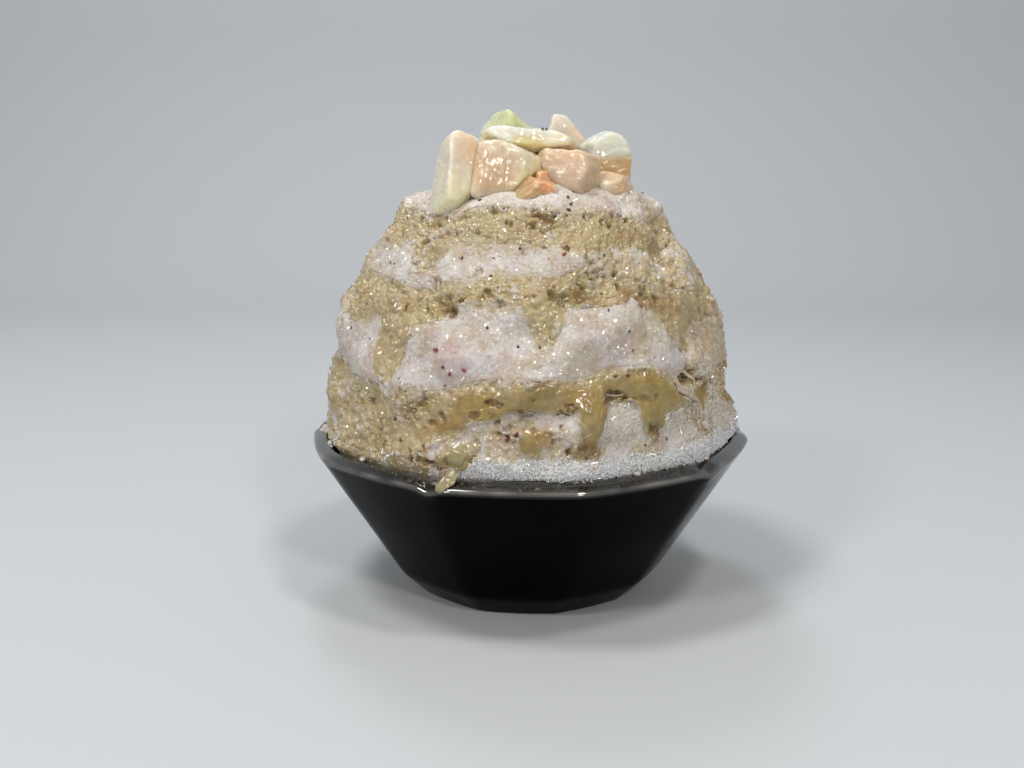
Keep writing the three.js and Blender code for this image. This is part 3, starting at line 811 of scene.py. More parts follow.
# Pools of thick sauce that sit on the snow: angle, height, half width, half height and how thick.
pools = [
    (0.4, 65.6, 3.6, 4.6, 1.1), (3.8, 66.4, 2.8, 3.0, 0.9), (14.8, 64.6, 2.0, 2.8, 0.9),
    (-17.2, 59.8, 5.4, 3.4, 0.9), (13.2, 62.8, 5.6, 2.0, 0.6), (16.4, 69.5, 1.5, 6.4, 1.3),
    (32.6, 71, 1.8, 6.6, 1.1), (52.6, 73, 2.6, 6.0, 1.1), (104, 62, 3, 5, 1.1), (184, 64, 4, 3, 1.0),
    (232, 62, 3, 5, 1.1), (262, 63, 3, 4, 1.0),
]

# Caves and deep pits that melting has left: angle, height, half width in degrees, half height and depth.
caves = [
    (-0.6, 73.2, 3.2, 1.7, 1.5), (9.8, 75.6, 2.6, 1.8, 1.7), (23, 78, 4, 1.8, 2.3),
    (14.4, 61.4, 2.6, 1.6, 1.6), (31.5, 84, 1.6, 1.3, 1.2), (47.4, 80.8, 2.6, 2.8, 3.6),
    (33.6, 66, 2.0, 2.4, 2.4), (-25.7, 58.2, 4.2, 1.6, 2.4), (-12.6, 72.2, 1.7, 1.1, 2),
    (-7.7, 77, 1.6, 1.0, 1.8), (-21.8, 71, 1.6, 1.1, 1.8), (-22.6, 102.6, 2.3, 1.7, 3),
    (8.7, 107.3, 2.6, 1.7, 2.6), (-40.1, 121.4, 2.4, 1.5, 2), (36.2, 106, 1.5, 2.2, 2.4),
    (40.5, 104.8, 1.5, 1.7, 2), (2.1, 127.5, 2.0, 1.5, 2), (13.6, 62.8, 5.4, 2.2, 1.9),
    (-16.4, 113.4, 1.6, 1.2, 1.6), (-30, 110, 1.6, 1.3, 1.8), (26, 129, 2, 1.4, 1.8), (96, 75, 4, 2, 3.4),
    (150, 102, 3, 1.8, 2.6), (187, 77, 5, 1.8, 3.6), (243, 100, 3, 1.8, 2.6), (128, 73, 3, 1.8, 2.8),
    (218, 74, 4, 1.8, 3.2), (268, 76, 3, 1.8, 3.2), (112, 121, 2.4, 1.6, 2),
]

relief = {
    "fray": 2.6,  # mm by which single grains cross an edge
    "clump": 2.7,
    "clumpLift": 1.55,
    "grain": 1.25,
    "grainLift": 0.3,
    "torn": (1.6, 0.9),  # size and height of the bends that keep clumps from being round
    "pitDepth": 1.8,
    "overhang": 0.5,  # how far the snow stands over the band under it
    "overhangReach": 3.5,  # mm up the snow
    "soakDown": (3.2, 0.5),  # mm over which sauce seeps out of a band, and how strongly
    "soakUp": (1.8, 0.34),
    "farthest": 30,  # mm, past which nothing seeps
    "edgeReach": 2.6,  # mm over which the thick sauce rounds down to its edge
    "caveEdge": (1.7, 1.4),  # how far the edges of caves and pools wander, in degrees and in mm
    "poolEdge": (1.3, 1.2),
    "thickAt": (0.4, 1.3),  # thickness in mm over which flowing sauce hides the grains
}

# Random fields: the first seed, then size in mm and strength of each layer.
fields = {
    "wobble": (20, [(9, 0.9), (3.8, 0.9), (1.8, 0.5)]),  # moves every edge up and down
    "sway": (31, [(4.5, 1), (1.7, 0.5)]),  # and sideways
    "rise": (33, [(3.6, 1), (1.4, 0.5)]),
    "patchy": (37, [(5.5, 1), (2.4, 0.6)]),
    "snow": (60, [(7, 0.5), (2.8, 0.3), (1.3, 0.16), (0.8, 0.06)]),
    "dimples": (64, [(2.6, 0.3), (1.3, 0.16)]),
    "pits": (70, [(3.6, 1), (1.7, 0.7)]),
    "bled": (80, [(8, 1), (2.6, 0.4)]),
    "gathered": (82, [(7, 1), (2.6, 0.9)]),
    "pale": (84, [(6.5, 1), (2.8, 0.5)]),
    "seeping": (86, [(13, 1), (5, 0.5)]),
    "crumbs": (88, [(11, 1), (5, 0.6)]),
}

# Sides where melt water has washed streaks down: angle, and how far away they begin and are full.
washedSides = [(66, 30, 12), (-78, 26, 12)]

tableAngle = np.arange(0, 360.5, 0.25)
seamTable = seamEdges(tableAngle)


def seamAt(name, angle):
    return np.interp(angle % 360, tableAngle, seamTable[name])


def awayFromFoot(name, angle, height, wobble):
    # how far inside the foot edge a place is, up to the reach of the rounding, measured in every direction
    reach = relief["edgeReach"]
    nearest = np.full(len(angle), reach)
    for step in np.linspace(-reach, reach, 9):
        gap = np.clip(height - seamAt(name, angle + step) - wobble, 0, reach)
        nearest = np.minimum(nearest, np.hypot(gap, step))
    return np.minimum(nearest, np.clip(height - seamAt(name, angle) - wobble, 0, reach))


def layered(points, name):
    seed, layers = fields[name]
    return sum(strength * softNoise(points, size, seed + k) for k, (size, strength) in enumerate(layers))


def roundedOff(inset):
    # height of a round edge, 0 where it begins and 1 past its width
    return np.sqrt(np.clip(1 - (1 - inset) ** 2, 0, 1))


def randomFields(points):
    # what the edges, lumps and stains share: grains and clumps are 1 in their middles and fall away all round
    size, bend = relief["torn"]
    torn = points + bend * np.stack([softNoise(points, size, 41 + k) for k in range(3)], axis=1)
    grainAway, grainOwn = grainNoise(points, relief["grain"], 50)
    clumpAway, clumpOwn = grainNoise(torn, relief["clump"], 40)
    coarse, fine = (points * (1, 1, stretch) for stretch in (0.16, 0.2))
    return SimpleNamespace(
        wobble=layered(points, "wobble"),
        sway=layered(points, "sway"),
        rise=layered(points, "rise"),
        patchy=layered(points, "patchy"),
        streak=softNoise(coarse, 2.2, 35) + 0.5 * softNoise(fine, 1.0, 36),
        seeping=smooth(layered(points, "seeping"), -0.4, 0.8),
        crumbs=smooth(layered(points, "crumbs"), -0.5, 0.6),  # 1 is loose lumps, 0 is settled
        fray=relief["fray"] * (grainOwn - 0.5) + 0.7 * relief["fray"] * (clumpOwn - 0.5),
        grainOwn=grainOwn,
        clumpOwn=clumpOwn,
        grain=1 - 2 * np.clip(grainAway, 0, 1) ** 2 + 0.9 * (grainOwn - 0.5),
        clump=1 - 2 * np.clip(clumpAway, 0, 1) ** 2 + 0.8 * (clumpOwn - 0.5),
    )


def caveDepth(angle, height, points, field):
    turn, lift = relief["caveEdge"]
    # thin walls left in the caves
    skins = smooth(np.abs(softNoise(points * (1, 1, 0.45), 1.9, 39)), 0.22, 0.04)
    deepest = np.zeros(len(points))
    for cave in caves:
        away = spotDistance(angle + turn * field.sway, height + lift * field.rise, cave)
        away = away + 1.1 * (field.grainOwn - 0.5) + 0.5 * (field.clumpOwn - 0.5)
        deepest = np.maximum(deepest, cave[4] * smooth(1.15 - away, 0, 0.9) * (1 - 0.55 * skins))
    return deepest


def soakedBands(angle, height, field):
    # what the bands of sauce do: how soaked, how thick, how brown and how far slumped each place is, and how
    # far the snow above a band stands over it
    settled = 1 - sum(bump(degreesApart(angle + 3 * field.sway, at), half) for at, half in crumblyParts)
    settled = np.clip(settled, 0, 1)
    syrup, flow, deep, sink, overhang = np.zeros((5, len(angle)))
    (downReach, downShare), (upReach, upShare) = relief["soakDown"], relief["soakUp"]
    farthest = relief["farthest"]
    for band in bands:
        top = seamAt(band["top"], angle + field.sway) + 0.6 * field.wobble
        foot = seamAt(band["foot"], angle + field.sway) + field.wobble
        thick = band["flow"] * (settled if band["flow"] > 1 else 1)
        covered = np.clip(thick, 0, 1)
        fray = field.fray * mix(1, 0.55, covered)  # thick sauce has a clean edge, soaked grains a ragged one
        fade = band["fade"] * mix(1, 0.55, covered) * (0.5 + 2 * field.seeping)
        under = smooth(top - height + 0.8 * fray, -1.0 - 2.6 * field.seeping, 1.2 + 2 * field.seeping)
        inside = under * smooth(height - foot + fray, -fade, 0.5 + 1.5 * field.seeping)
        downwards = smooth(field.patchy + 0.5 * field.streak, -0.5, 0.9) * under * (height < foot)
        soakDown = np.exp(-np.clip(foot - height, 0, farthest) / downReach) * downwards
        upwards = smooth(field.patchy, -0.4, 0.8) * (height > top)
        soakUp = np.exp(-np.clip(height - top, 0, farthest) / upReach) * upwards
        syrup = np.maximum(np.maximum(syrup, inside), downShare * soakDown + upShare * soakUp)
        deep = np.maximum(deep, inside * mix(0.08, band["deep"], covered))
        sink = np.maximum(sink, inside * mix(0.9, band["sink"], covered))
        if band["flow"] > 0:
            inset = awayFromFoot(band["foot"], angle + field.sway, height, field.wobble) / relief["edgeReach"]
            cover = roundedOff(inset) * smooth(top - height, -0.5, 5) * (height > foot)
            flow = np.maximum(flow, thick * cover)
        above = np.exp(-np.clip(height - top, 0, None) / relief["overhangReach"])
        overhang = np.maximum(overhang, (1 - under) * above)
    return syrup, flow, deep, sink, overhang


def addPatches(angle, height, field, syrup, flow, deep):
    # stains, browner places and pools of thick sauce, over what the bands do; some stains and browner places
    # are painted shade
    ragged = 0.35 * field.patchy + 0.6 * field.streak + 0.2 * field.fray
    for stain in stainsAndShade:
        away = spotDistance(angle, height, stain)
        syrup = np.maximum(syrup, stain[4] * smooth(1.1 - away + ragged, 0, 1.1))
    brown = smooth(field.patchy + 0.6 * field.streak, -0.9, 0.6)
    for place in steepedAndShade:
        deep = deep + place[4] * np.exp(-spotDistance(angle, height, place)) * brown
    turn, lift = relief["poolEdge"]
    for pool in pools:
        away = spotDistance(angle + turn * field.sway, height + lift * field.rise, pool)
        inset = np.clip(1 - away - 0.25 * (field.grainOwn - 0.5), 0, 1)
        flow = np.maximum(flow, pool[4] * roundedOff(inset))
        syrup = np.maximum(syrup, smooth(inset, -0.1, 0.35) * (inset > 0))
        deep = np.maximum(deep, 0.3 * smooth(inset, 0.0, 0.5))
    return syrup, flow, deep


def surfaceRelief(angle, points, field, crumbly, smoothed):
    # clumps and grains where the ice is soaked, soft snow elsewhere, dimples in thick sauce, and streaks
    clumps = relief["clumpLift"] * field.clump * mix(0.3, 1, field.crumbs)
    rough = crumbly * (clumps + relief["grainLift"] * field.grain) * 0.6
    snow = layered(points, "snow") * (1 - 0.6 * smoothed) + 0.1 * field.grain * (1 - smoothed)
    washed = sum(smooth(np.abs(degreesApart(angle, at)), far, near) for at, far, near in washedSides)
    ridges = field.streak * (0.9 * np.clip(washed, 0, 1) + 0.1 * smoothed)
    return rough + snow + layered(points, "dimples") * smoothed + ridges


def iceDetail(angle, height, points):
    # lift of the surface in mm, and how soaked, how brown and painted dark with shade, how smooth and how
    # pink each place is
    field = randomFields(points)
    cave = caveDepth(angle, height, points, field)
    hollow = smooth(cave, 0.5, 1.8)
    syrup, flow, deep, sink, overhang = soakedBands(angle, height, field)
    syrup, flow, deep = addPatches(angle, height, field, syrup, flow, deep)
    smoothed = 0.9 * smooth(flow + 0.5 * field.patchy, *relief["thickAt"]) * (1 - hollow)
    crumbly = smooth(syrup, 0.3, 0.85) * (1 - 0.85 * smoothed)
    rough = 0.5 * (field.grainOwn - 0.5) + 0.3 * (field.crumbs - 0.5)
    pitted = layered(points, "pits") + 0.3 * field.sway + rough
    pit = smooth(pitted, 0.7, 1.1) * smooth(syrup, 0.45, 0.8) * (1 - 0.6 * smoothed)
    lift = flow - sink + surfaceRelief(angle, points, field, crumbly, smoothed)
    lift = lift + relief["overhang"] * overhang - relief["pitDepth"] * pit - cave

    # browner where more sauce has gathered, and darker between the grains, in the pits and in the caves as
    # painted shade
    gathers = smooth(field.patchy + 0.9 * field.streak * smoothed, -0.2, 1.2) * smooth(syrup, 0.4, 0.9)
    between = smooth(-0.6 * (field.clump + field.grain), -0.1, 1.1) * mix(0.15, 0.7, field.crumbs) * crumbly
    browningAndShade = np.clip(deep + 0.55 * gathers + between + 0.6 * pit + cave / 6 - 0.12, 0, 1)

    # syrup drains out of clumps that stand proud
    pale = smooth(layered(points, "pale") + 0.9 * field.clump, 0.3, 1.9)
    drained = pale * mix(0.3, 0.7, field.crumbs) * (1 - smoothed) * (1 - hollow)
    syrup = np.maximum(syrup, 0.8 * hollow) * (1 - drained)
    blushed = sum(np.exp(-spotDistance(angle, height, blush)) for blush in blushes)
    bled = layered(points, "bled") + 0.74 * blushed

    # grains lie loose low down and in patches, and hardly at all where the right side is washed
    patches = smooth(layered(points, "gathered") + field.crumbs - 0.5, -0.2, 1.3)
    washed = smooth(np.abs(degreesApart(angle, 66)), 34, 20) * smooth(height, 124, 112)
    loose = (1 - smooth(smoothed, 0.1, 0.5)) * mix(0.05, 1, patches) * (1 - 0.8 * washed)
    loose = loose * mix(0.24, 0.8, smooth(height, 108, 124))
    return lift, {
        "syrup": syrup, "browningAndShade": browningAndShade, "smoothed": smoothed, "berry": smooth(bled, 0.35, 1.0),
        "loose": loose,
    }


def seamRings(name, columnAngle):
    # the plain inside of a seam: its middle and a ring part of the way out, with the radius and height of
    # each column
    seam = seams[name]
    count = len(columnAngle)
    ring = heap["seamRing"] * np.interp(seam["height"], outline[:, 1], outline[:, 0])
    level = mix(seamLevel(name, columnAngle), seam["height"], 0.5) + seam["rise"] / 6
    return [(np.zeros(count), np.full(count, seam["height"] + seam["rise"])), (np.full(count, ring), level)]


def bowlRings(columnAngle):
    # the underside of the lowest layer: from the middle of the bowl's floor up the inside of its wall
    count = len(columnAngle)
    floor = bowl["floor"] + heap["bowlGap"]
    roundness = bowlRoundness(columnAngle)
    inner = bowl["rimRadius"] - bowl["lipWidth"]
    base = bowl["coneRadius"] - bowl["wall"]
    return [
        (np.zeros(count), np.full(count, floor)),
        (roundness * (base - 7.5), np.full(count, floor + 0.4)),
        (roundness * (base + 1.4), np.full(count, floor + 6.5)),
        (roundness * (inner - 2), np.full(count, bowl["lipHeight"] - 2.4)),
    ]


def buildLayer(name, node, foot, top, material=iceMaterial):
    # one layer, its outside shaped and stained, its inside faces plain where they meet the next layer
    columns = heap["columns"]
    columnAngle = np.arange(columns) * 360 / columns
    edges = seamEdges(columnAngle)
    lowest = edges[foot] if foot else np.full(columns, bowl["lipHeight"] + 0.4)
    begin = np.interp(lowest, outline[:, 1], travelled)
    end = np.interp(edges[top], outline[:, 1], travelled) if top else np.full(columns, travelled[-1] - 0.5)
    steps = math.ceil((end - begin).max() / heap["rowStep"])
    below = seamRings(foot, columnAngle) if foot else bowlRings(columnAngle)
    above = [(np.zeros(columns), np.full(columns, outline[-1, 1]))]
    if top:
        above = seamRings(top, columnAngle)[::-1]
    first = len(below)
    last = first + steps
    mesh, row, column = closedSkin(last + len(above), columns)
    angle = columnAngle[column]
    points = np.zeros((len(row), 3))
    for index, (radius, height) in itertools.chain(enumerate(below), enumerate(above, last + 1)):
        there = row == index
        points[there] = around(radius[column[there]], angle[there], height[column[there]])
    wall = (row >= first) & (row <= last)
    share = (row[wall] - first) / steps
    along = mix(begin[column[wall]], end[column[wall]], share)
    bare, height = heapPoints(angle[wall], along)
    lift, marks = iceDetail(angle[wall], height, bare)
    lip = bowl["lipHeight"]
    lift = lift * smooth(height, lip + 0.2, lip + 3)
    points[wall] = heapPoints(angle[wall], along, lift)[0]
    writePoints(mesh, points * mm)
    for label, values in marks.items():
        everywhere = np.zeros(len(row))
        everywhere[wall] = values
        writeValues(mesh, label, everywhere)
    return newPiece(name, mesh, material, [node])


layers = [
    buildLayer("shaved_base", "ice_base", None, "lowerSauceFoot"),
    buildLayer("lower_sauce_band", "sauce_lower", "lowerSauceFoot", "middleIceFoot"),
    buildLayer("shaved_middle", "ice_middle", "middleIceFoot", "middleSauceFoot"),
    buildLayer("middle_sauce_band", "sauce_middle", "middleSauceFoot", "upperIceFoot"),
    buildLayer("shaved_upper", "ice_upper", "upperIceFoot", "upperSauceFoot"),
    buildLayer("upper_sauce_band", "sauce_upper", "upperSauceFoot", "crownFoot"),
    buildLayer("shaved_crown", "ice_crown", "crownFoot", None, stainedLitCrownMaterial),
]
print("ice done:", [len(layer.data.polygons) for layer in layers])


def heapNormals(angle, along):
    outward = np.interp(along, travelled, heading[:, 1])
    upward = -np.interp(along, travelled, heading[:, 0])
    normals = around(outward, angle, upward)
    return normals / np.linalg.norm(normals, axis=1)[:, None]


triesPerPlace = 5


def scatterOn(count, low, high, chance, rng):
    # random places on the finished ice between two heights; chance tells how likely each one is kept
    begin, end = np.interp([low, high], outline[:, 1], travelled)
    angle = 360 * rng.random(count * triesPerPlace)
    along = mix(begin, end, rng.random(count * triesPerPlace))
    bare, height = heapPoints(angle, along)
    lift, marks = iceDetail(angle, height, bare)
    kept = np.flatnonzero(rng.random(len(angle)) < chance(marks, angle, height))[:count]
    points = heapPoints(angle[kept], along[kept], lift[kept])[0]
    return points, heapNormals(angle[kept], along[kept])


def randomFrames(directions, spread, rng):
    # for each direction a set of three axes, leaned by chance, the third one nearest the direction
    third = directions + spread * rng.normal(size=directions.shape)
    third /= np.linalg.norm(third, axis=1)[:, None]
    first = np.cross(third, rng.normal(size=directions.shape))
    first /= np.linalg.norm(first, axis=1)[:, None]
    return np.stack([first, np.cross(third, first), third], axis=1)


def lyingOn(normals, rise, rng):
    # directions that lie in the surface by chance, and stand out of it a little
    spread = rng.normal(size=normals.shape)
    lying = spread - (1 - rise) * (spread * normals).sum(axis=1)[:, None] * normals
    return lying / np.linalg.norm(lying, axis=1)[:, None]


def joinedCopies(name, template, places, frames, sizes, material, marks=None, shadeSmooth=False):
    # one mesh that holds a copy of the template at every place, turned to its frame and sized along its axes
    bm = bmesh.new()
    for _ in places:
        bm.from_mesh(template, face_normals=False, vertex_normals=False)
    mesh = bpy.data.meshes.new(name)
    bm.to_mesh(mesh)
    bm.free()
    copies = np.einsum("mk,nkc->nmc", readPoints(template), frames * sizes[:, :, None])
    writePoints(mesh, (copies + places[:, None, :]).reshape(-1, 3) * mm)
    for label, values in (marks or {}).items():
        writeValues(mesh, label, np.repeat(values, len(template.vertices)))
    bpy.data.meshes.remove(template)
    return newPiece(name, mesh, material, shadeSmooth=shadeSmooth)


def smallShape(kind, **settings):
    bm = bmesh.new()
    getattr(bmesh.ops, "create_" + kind)(bm, **settings)
    bmesh.ops.triangulate(bm, faces=bm.faces)
    bmesh.ops.recalc_face_normals(bm, faces=bm.faces)
    mesh = bpy.data.meshes.new(kind)
    bm.to_mesh(mesh)
    bm.free()
    return mesh


# Loose ice: how many, between which heights, sizes in mm, and what it looks like.
grains = {
    "soaked": {
        "name": "soaked ice grains",
        "count": 9500, "low": 56, "high": 138, "size": (0.2, 0.6), "flat": 0.6, "spread": 0.8,
        "colour": "#fbf0c8", "roughness": 0.12,
    },
    "snow": {
        "name": "snow grains",
        "count": 9000, "low": 55, "high": 138.9, "size": (0.18, 0.46), "flat": 0.5, "spread": 0.6,
        "colour": "#fbf8f4", "roughness": 0.14,
    },
    "needles": {
        "name": "ice needles",
        "count": 15000, "low": 54.2, "high": 61.5, "length": (0.7, 2.4), "width": (0.1, 0.24), "rise": 0.75,
        "colour": "#ffffff", "roughness": 0.16,
    },
}


def onSauce(marks, angle, height):
    return smooth(marks["syrup"], 0.5, 0.9) * marks["loose"] * (1 - 0.6 * marks["browningAndShade"])


def onSnow(marks, angle, height):
    return (1 - smooth(marks["syrup"], 0.15, 0.5)) * marks["loose"] * (1 - 0.6 * marks["browningAndShade"])


def onRim(marks, angle, height):
    # thick along the lip, thinning out 4 mm below their highest place, and few where sauce covers the left
    high = grains["needles"]["high"]
    dry = (1 - smooth(marks["syrup"], 0.4, 0.9)) * smooth(height, high, high - 4)
    return dry * (1 - 0.9 * smooth(np.abs(degreesApart(angle, -58)), 44, 34))


def buildGrains():
    rng = np.random.default_rng(11)
    materials = {
        kind: clearIce(look["name"], look["colour"], look["roughness"]) for kind, look in grains.items()
    }
    kinds = (
        ("soaked_grains", "soaked", "milk_sauce", onSauce),
        ("snow_grains", "snow", "shaved_ice", onSnow),
    )
    for name, kind, slot, chance in kinds:
        look = grains[kind]
        places, normals = scatterOn(look["count"], look["low"], look["high"], chance, rng)
        size = mix(*look["size"], rng.random(len(places)) ** 1.6)
        broad = size * mix(0.35, 0.8, rng.random(len(size)))
        sizes = np.stack([1.2 * size, broad, size * look["flat"]], axis=1)
        frames = randomFrames(normals, look["spread"], rng)
        template = smallShape("cone", cap_ends=True, segments=4, radius1=1, radius2=0.7, depth=1)
        places = places + 0.1 * size[:, None] * normals
        joinedCopies(name, template, places, frames, sizes, materials[kind])
    look = grains["needles"]
    places, normals = scatterOn(look["count"], look["low"], look["high"], onRim, rng)
    length = mix(*look["length"], rng.random(len(places)) ** 1.5)
    width = mix(*look["width"], rng.random(len(places)))
    sizes = np.stack([width, width, length], axis=1)
    frames = randomFrames(lyingOn(normals, look["rise"], rng), 0.1, rng)
    template = smallShape("cone", cap_ends=True, segments=4, radius1=1, radius2=0.35, depth=1)
    places = places + 0.2 * normals
    joinedCopies("rim_needles", template, places, frames, sizes, materials["needles"])


# Flakes of dried berry: angle, height and length; skin is 0 for a red break and 1 for dark skin.
berryFlakes = [
    (11.7, 117.7, 1.5, 0), (-24.3, 91.2, 1.7, 0.1), (-16.3, 86, 1.2, 0.1), (6.7, 119.7, 1.0, 1),
    (13.2, 120.4, 0.9, 0.8), (-11.2, 98.3, 0.8, 1), (-2.7, 93.3, 0.8, 1), (3.1, 93, 0.9, 1),
    (18.9, 132.8, 1.1, 1), (23.1, 136.2, 1, 1), (-22, 133.3, 1.2, 1), (18.4, 134.6, 1.3, 1),
    (17.4, 131.4, 1.2, 1), (-23.5, 117.3, 1, 1), (-3, 120.2, 0.9, 0.7), (26.1, 117.3, 0.9, 1),
    (27.7, 96.1, 0.8, 1), (28.6, 90.9, 0.8, 0.6), (23, 102.6, 0.8, 1), (-4.8, 66.5, 1.1, 0.1),
    (-2.6, 68.2, 0.9, 0.2), (14.4, 60.6, 0.8, 0.8), (38, 63, 0.8, 0.7), (-19.8, 84.6, 1.1, 0.6),
    (-21.6, 86.4, 1.2, 0.7), (30.8, 62.4, 0.8, 0.4),
]
# The smaller ones that lie anywhere: sizes in mm, and breadth and thickness as shares of the length.
smallFlakes = {
    "count": 260, "low": 56, "high": 138.8, "length": (0.35, 0.85), "darkShare": 0.75,
    "long": 0.75, "broad": (0.4, 0.8), "thick": 0.3, "spread": 0.35, "off": 0.1,
}
# Two more lie on the top slice, nearest these places in mm.
sliceFlakes = [(3.9, -22.4, 160), (5.2, -22.8, 159.4)]
sliceFlakeLength = 1.1


def buildBerryFlakes(fruit):
    look = smallFlakes
    rng = np.random.default_rng(23)
    named = np.array(berryFlakes)
    begin, end = np.interp([look["low"], look["high"]], outline[:, 1], travelled)
    angle = np.concatenate([named[:, 0], 360 * rng.random(look["count"])])
    namedAlong = np.interp(named[:, 1], outline[:, 1], travelled)
    along = np.concatenate([namedAlong, mix(begin, end, rng.random(look["count"]))])
    bare, height = heapPoints(angle, along)
    lift, marks = iceDetail(angle, height, bare)
    isNamed = np.arange(len(angle)) < len(named)
    onGrains = (marks["smoothed"] < 0.4) & (rng.random(len(angle)) < 1 - 0.6 * marks["syrup"])
    kept = isNamed | onGrains
    length = np.concatenate([named[:, 2], mix(*look["length"], rng.random(look["count"]))])[kept]
    dark = np.round(rng.random(look["count"]) + look["darkShare"] - 0.5, 0)
    skin = np.concatenate([named[:, 3], dark])[kept]
    places = heapPoints(angle, along, lift)[0][kept]
    normals = heapNormals(angle, along)[kept]
    for place in sliceFlakes:
        _, touched, facing, _ = fruit.closest_point_on_mesh(Vector(place) * mm)
        places = np.vstack([places, np.array(touched) / mm])
        normals = np.vstack([normals, facing])
        length = np.append(length, sliceFlakeLength)
        skin = np.append(skin, 1)
    long = look["long"] * length
    broad = long * mix(*look["broad"], rng.random(len(length)))
    sizes = np.stack([long, broad, look["thick"] * length], axis=1)
    frames = randomFrames(normals, look["spread"], rng)
    template = smallShape("icosphere", subdivisions=1, radius=1)
    places = places + look["off"] * normals
    joinedCopies("berry_flakes", template, places, frames, sizes, berryFlesh(), {"skin": skin})


def heapPlaces(line):
    # places given as (angle, height, mm off the finished ice)
    angle, level, off = np.array(line).T
    along = np.interp(level, outline[:, 1], travelled)
    bare, height = heapPoints(angle, along)
    lift = np.minimum(iceDetail(angle, height, bare)[0] + off, off + 1)
    return heapPoints(angle, along, lift)[0]


def sweptThread(centre, width, thick, sides=12):
    # a strand along a curve, flattened and closed at both ends, with a half width and half thickness per row
    along = np.gradient(centre, axis=0)
    along /= np.linalg.norm(along, axis=1)[:, None]
    outward = centre - (0, 0, 40)
    side = np.cross(along, outward)
    side /= np.linalg.norm(side, axis=1)[:, None]
    outward = np.cross(side, along)
    mesh, row, column = closedSkin(len(centre) - 1, sides)
    turn = 2 * math.pi * column / sides
    inside = (row > 0) & (row < len(centre) - 1)
    across = (inside * width[row] * np.cos(turn))[:, None] * side[row]
    points = centre[row] + across + (inside * thick[row] * np.sin(turn))[:, None] * outward[row]
    return mesh, points


def joinThreads(name, parts, material, marks=None):
    bm = bmesh.new()
    for mesh, points in parts:
        writePoints(mesh, points * mm)
        bm.from_mesh(mesh)
        bpy.data.meshes.remove(mesh)
    bmesh.ops.recalc_face_normals(bm, faces=bm.faces)
    mesh = bpy.data.meshes.new(name)
    bm.to_mesh(mesh)
    bm.free()
    for label, value in (marks or {}).items():
        writeValues(mesh, label, np.full(len(mesh.vertices), value))
    return newPiece(name, mesh, material)


# Milk sauce that has run over the lip, with half widths and half thicknesses at all its places from the top.
rimDrip = {
    "onIce": [(-16.4, 64.5, -0.2), (-17, 62, 0), (-17.6, 59.4, 0), (-18, 57, 0)],  # angle, height, mm off ice
    "onLip": [  # angle, radius, height
        (-18.4, 73, 54.7), (-18.9, 74.2, 53.9), (-19.5, 75.2, 53), (-20.2, 75.8, 52), (-20.6, 75.5, 51),
    ],
    "width": [2.0, 2.8, 2.6, 2.4, 2.2, 1.8, 1.5, 1.2, 0.8],
    "thick": [0.3, 0.42, 0.46, 0.5, 0.5, 0.46, 0.42, 0.36, 0.3],
    "steps": 8,
    "sides": 28,
    "unevenness": (1.8, 0.4),  # size in mm, and share of the width
}

# Strands of half-melted ice across the hollows: angle, height and mm off the ice of each place, and
# half of the strand's thickness.
strands = [
    ([
        (44, 83.6, 0), (42.8, 79, 0.4), (45.6, 76, 0.3), (50, 73.8, 0.3), (51.4, 69, 0.1), (50.4, 63.6, -0.1),
    ], 0.36),
    ([
        (44.6, 83, 0.1), (43.6, 79.4, 0.5), (46, 76.8, 0.5), (49.2, 74.6, 0.5), (52, 70, 0.2), (51.4, 65, 0),
    ], 0.3),
    ([
        (43.6, 82, 0.1), (42.6, 77.6, 0.3), (46.4, 75, 0.2), (50.6, 72.4, 0.3), (50.6, 68, 0.1),
        (49.8, 62, 0),
    ], 0.3),
    ([(44.6, 83, 0.2), (47.4, 82.4, 1.2), (49.6, 79, 0.8), (48.8, 75.4, 0.2)], 0.28),
    ([(45.6, 81.4, 0.5), (47, 79.6, 1.4), (47.2, 77.2, 0.6)], 0.22),
    ([(19, 79.6, 0.3), (21.4, 78.4, 1.2), (25.4, 78.2, 0.4)], 0.16),
    ([(-1, 74.8, 0.3), (1.2, 73.8, 1.2), (2.2, 72, 0.4)], 0.18),
    ([(98, 77, 0.2), (96.4, 74, 1.4), (98.6, 70.6, 0.3)], 0.36),
    ([(184.6, 79.6, 0.2), (187, 76.6, 1.6), (186, 72.6, 0.3)], 0.36),
]
strandShape = {
    "steps": 14,
    "sides": 14,
    "bends": (1.8, 0.25),  # size and depth in mm
    "unevenness": (1.7, 0.34),
    "ends": 0.4,  # how thick the ends are, next to the middle
    "width": 1.9,
    "flatness": 0.7,
}

# Melt water on the lip: angle, radius and size of each drop, and the film along the inside of the lip.
lipDrops = [
    (-30.6, 73.6, 0.7), (-28.2, 74.4, 1.1), (-26.4, 73, 0.6), (-24.8, 74.6, 0.9), (-22.2, 73.2, 1.3),
    (-20.4, 74.8, 0.7), (-33.4, 74.2, 0.5), (-12.6, 74.4, 0.6), (22.4, 74, 0.6), (41, 73.4, 0.8),
    (118, 74, 0.9), (205, 73.8, 0.8), (262, 74.2, 0.6),
]
lipFilm = {"from": -13, "to": 15, "radius": 71.9, "height": 53.5, "width": 0.9, "thick": 0.42, "rows": 90}
lipSlope = {"radius": (71.5, 75.3), "height": (53.8, 52)}  # the top of the lip falls outwards
dropShape = {"flatness": 0.55, "off": 0.1}


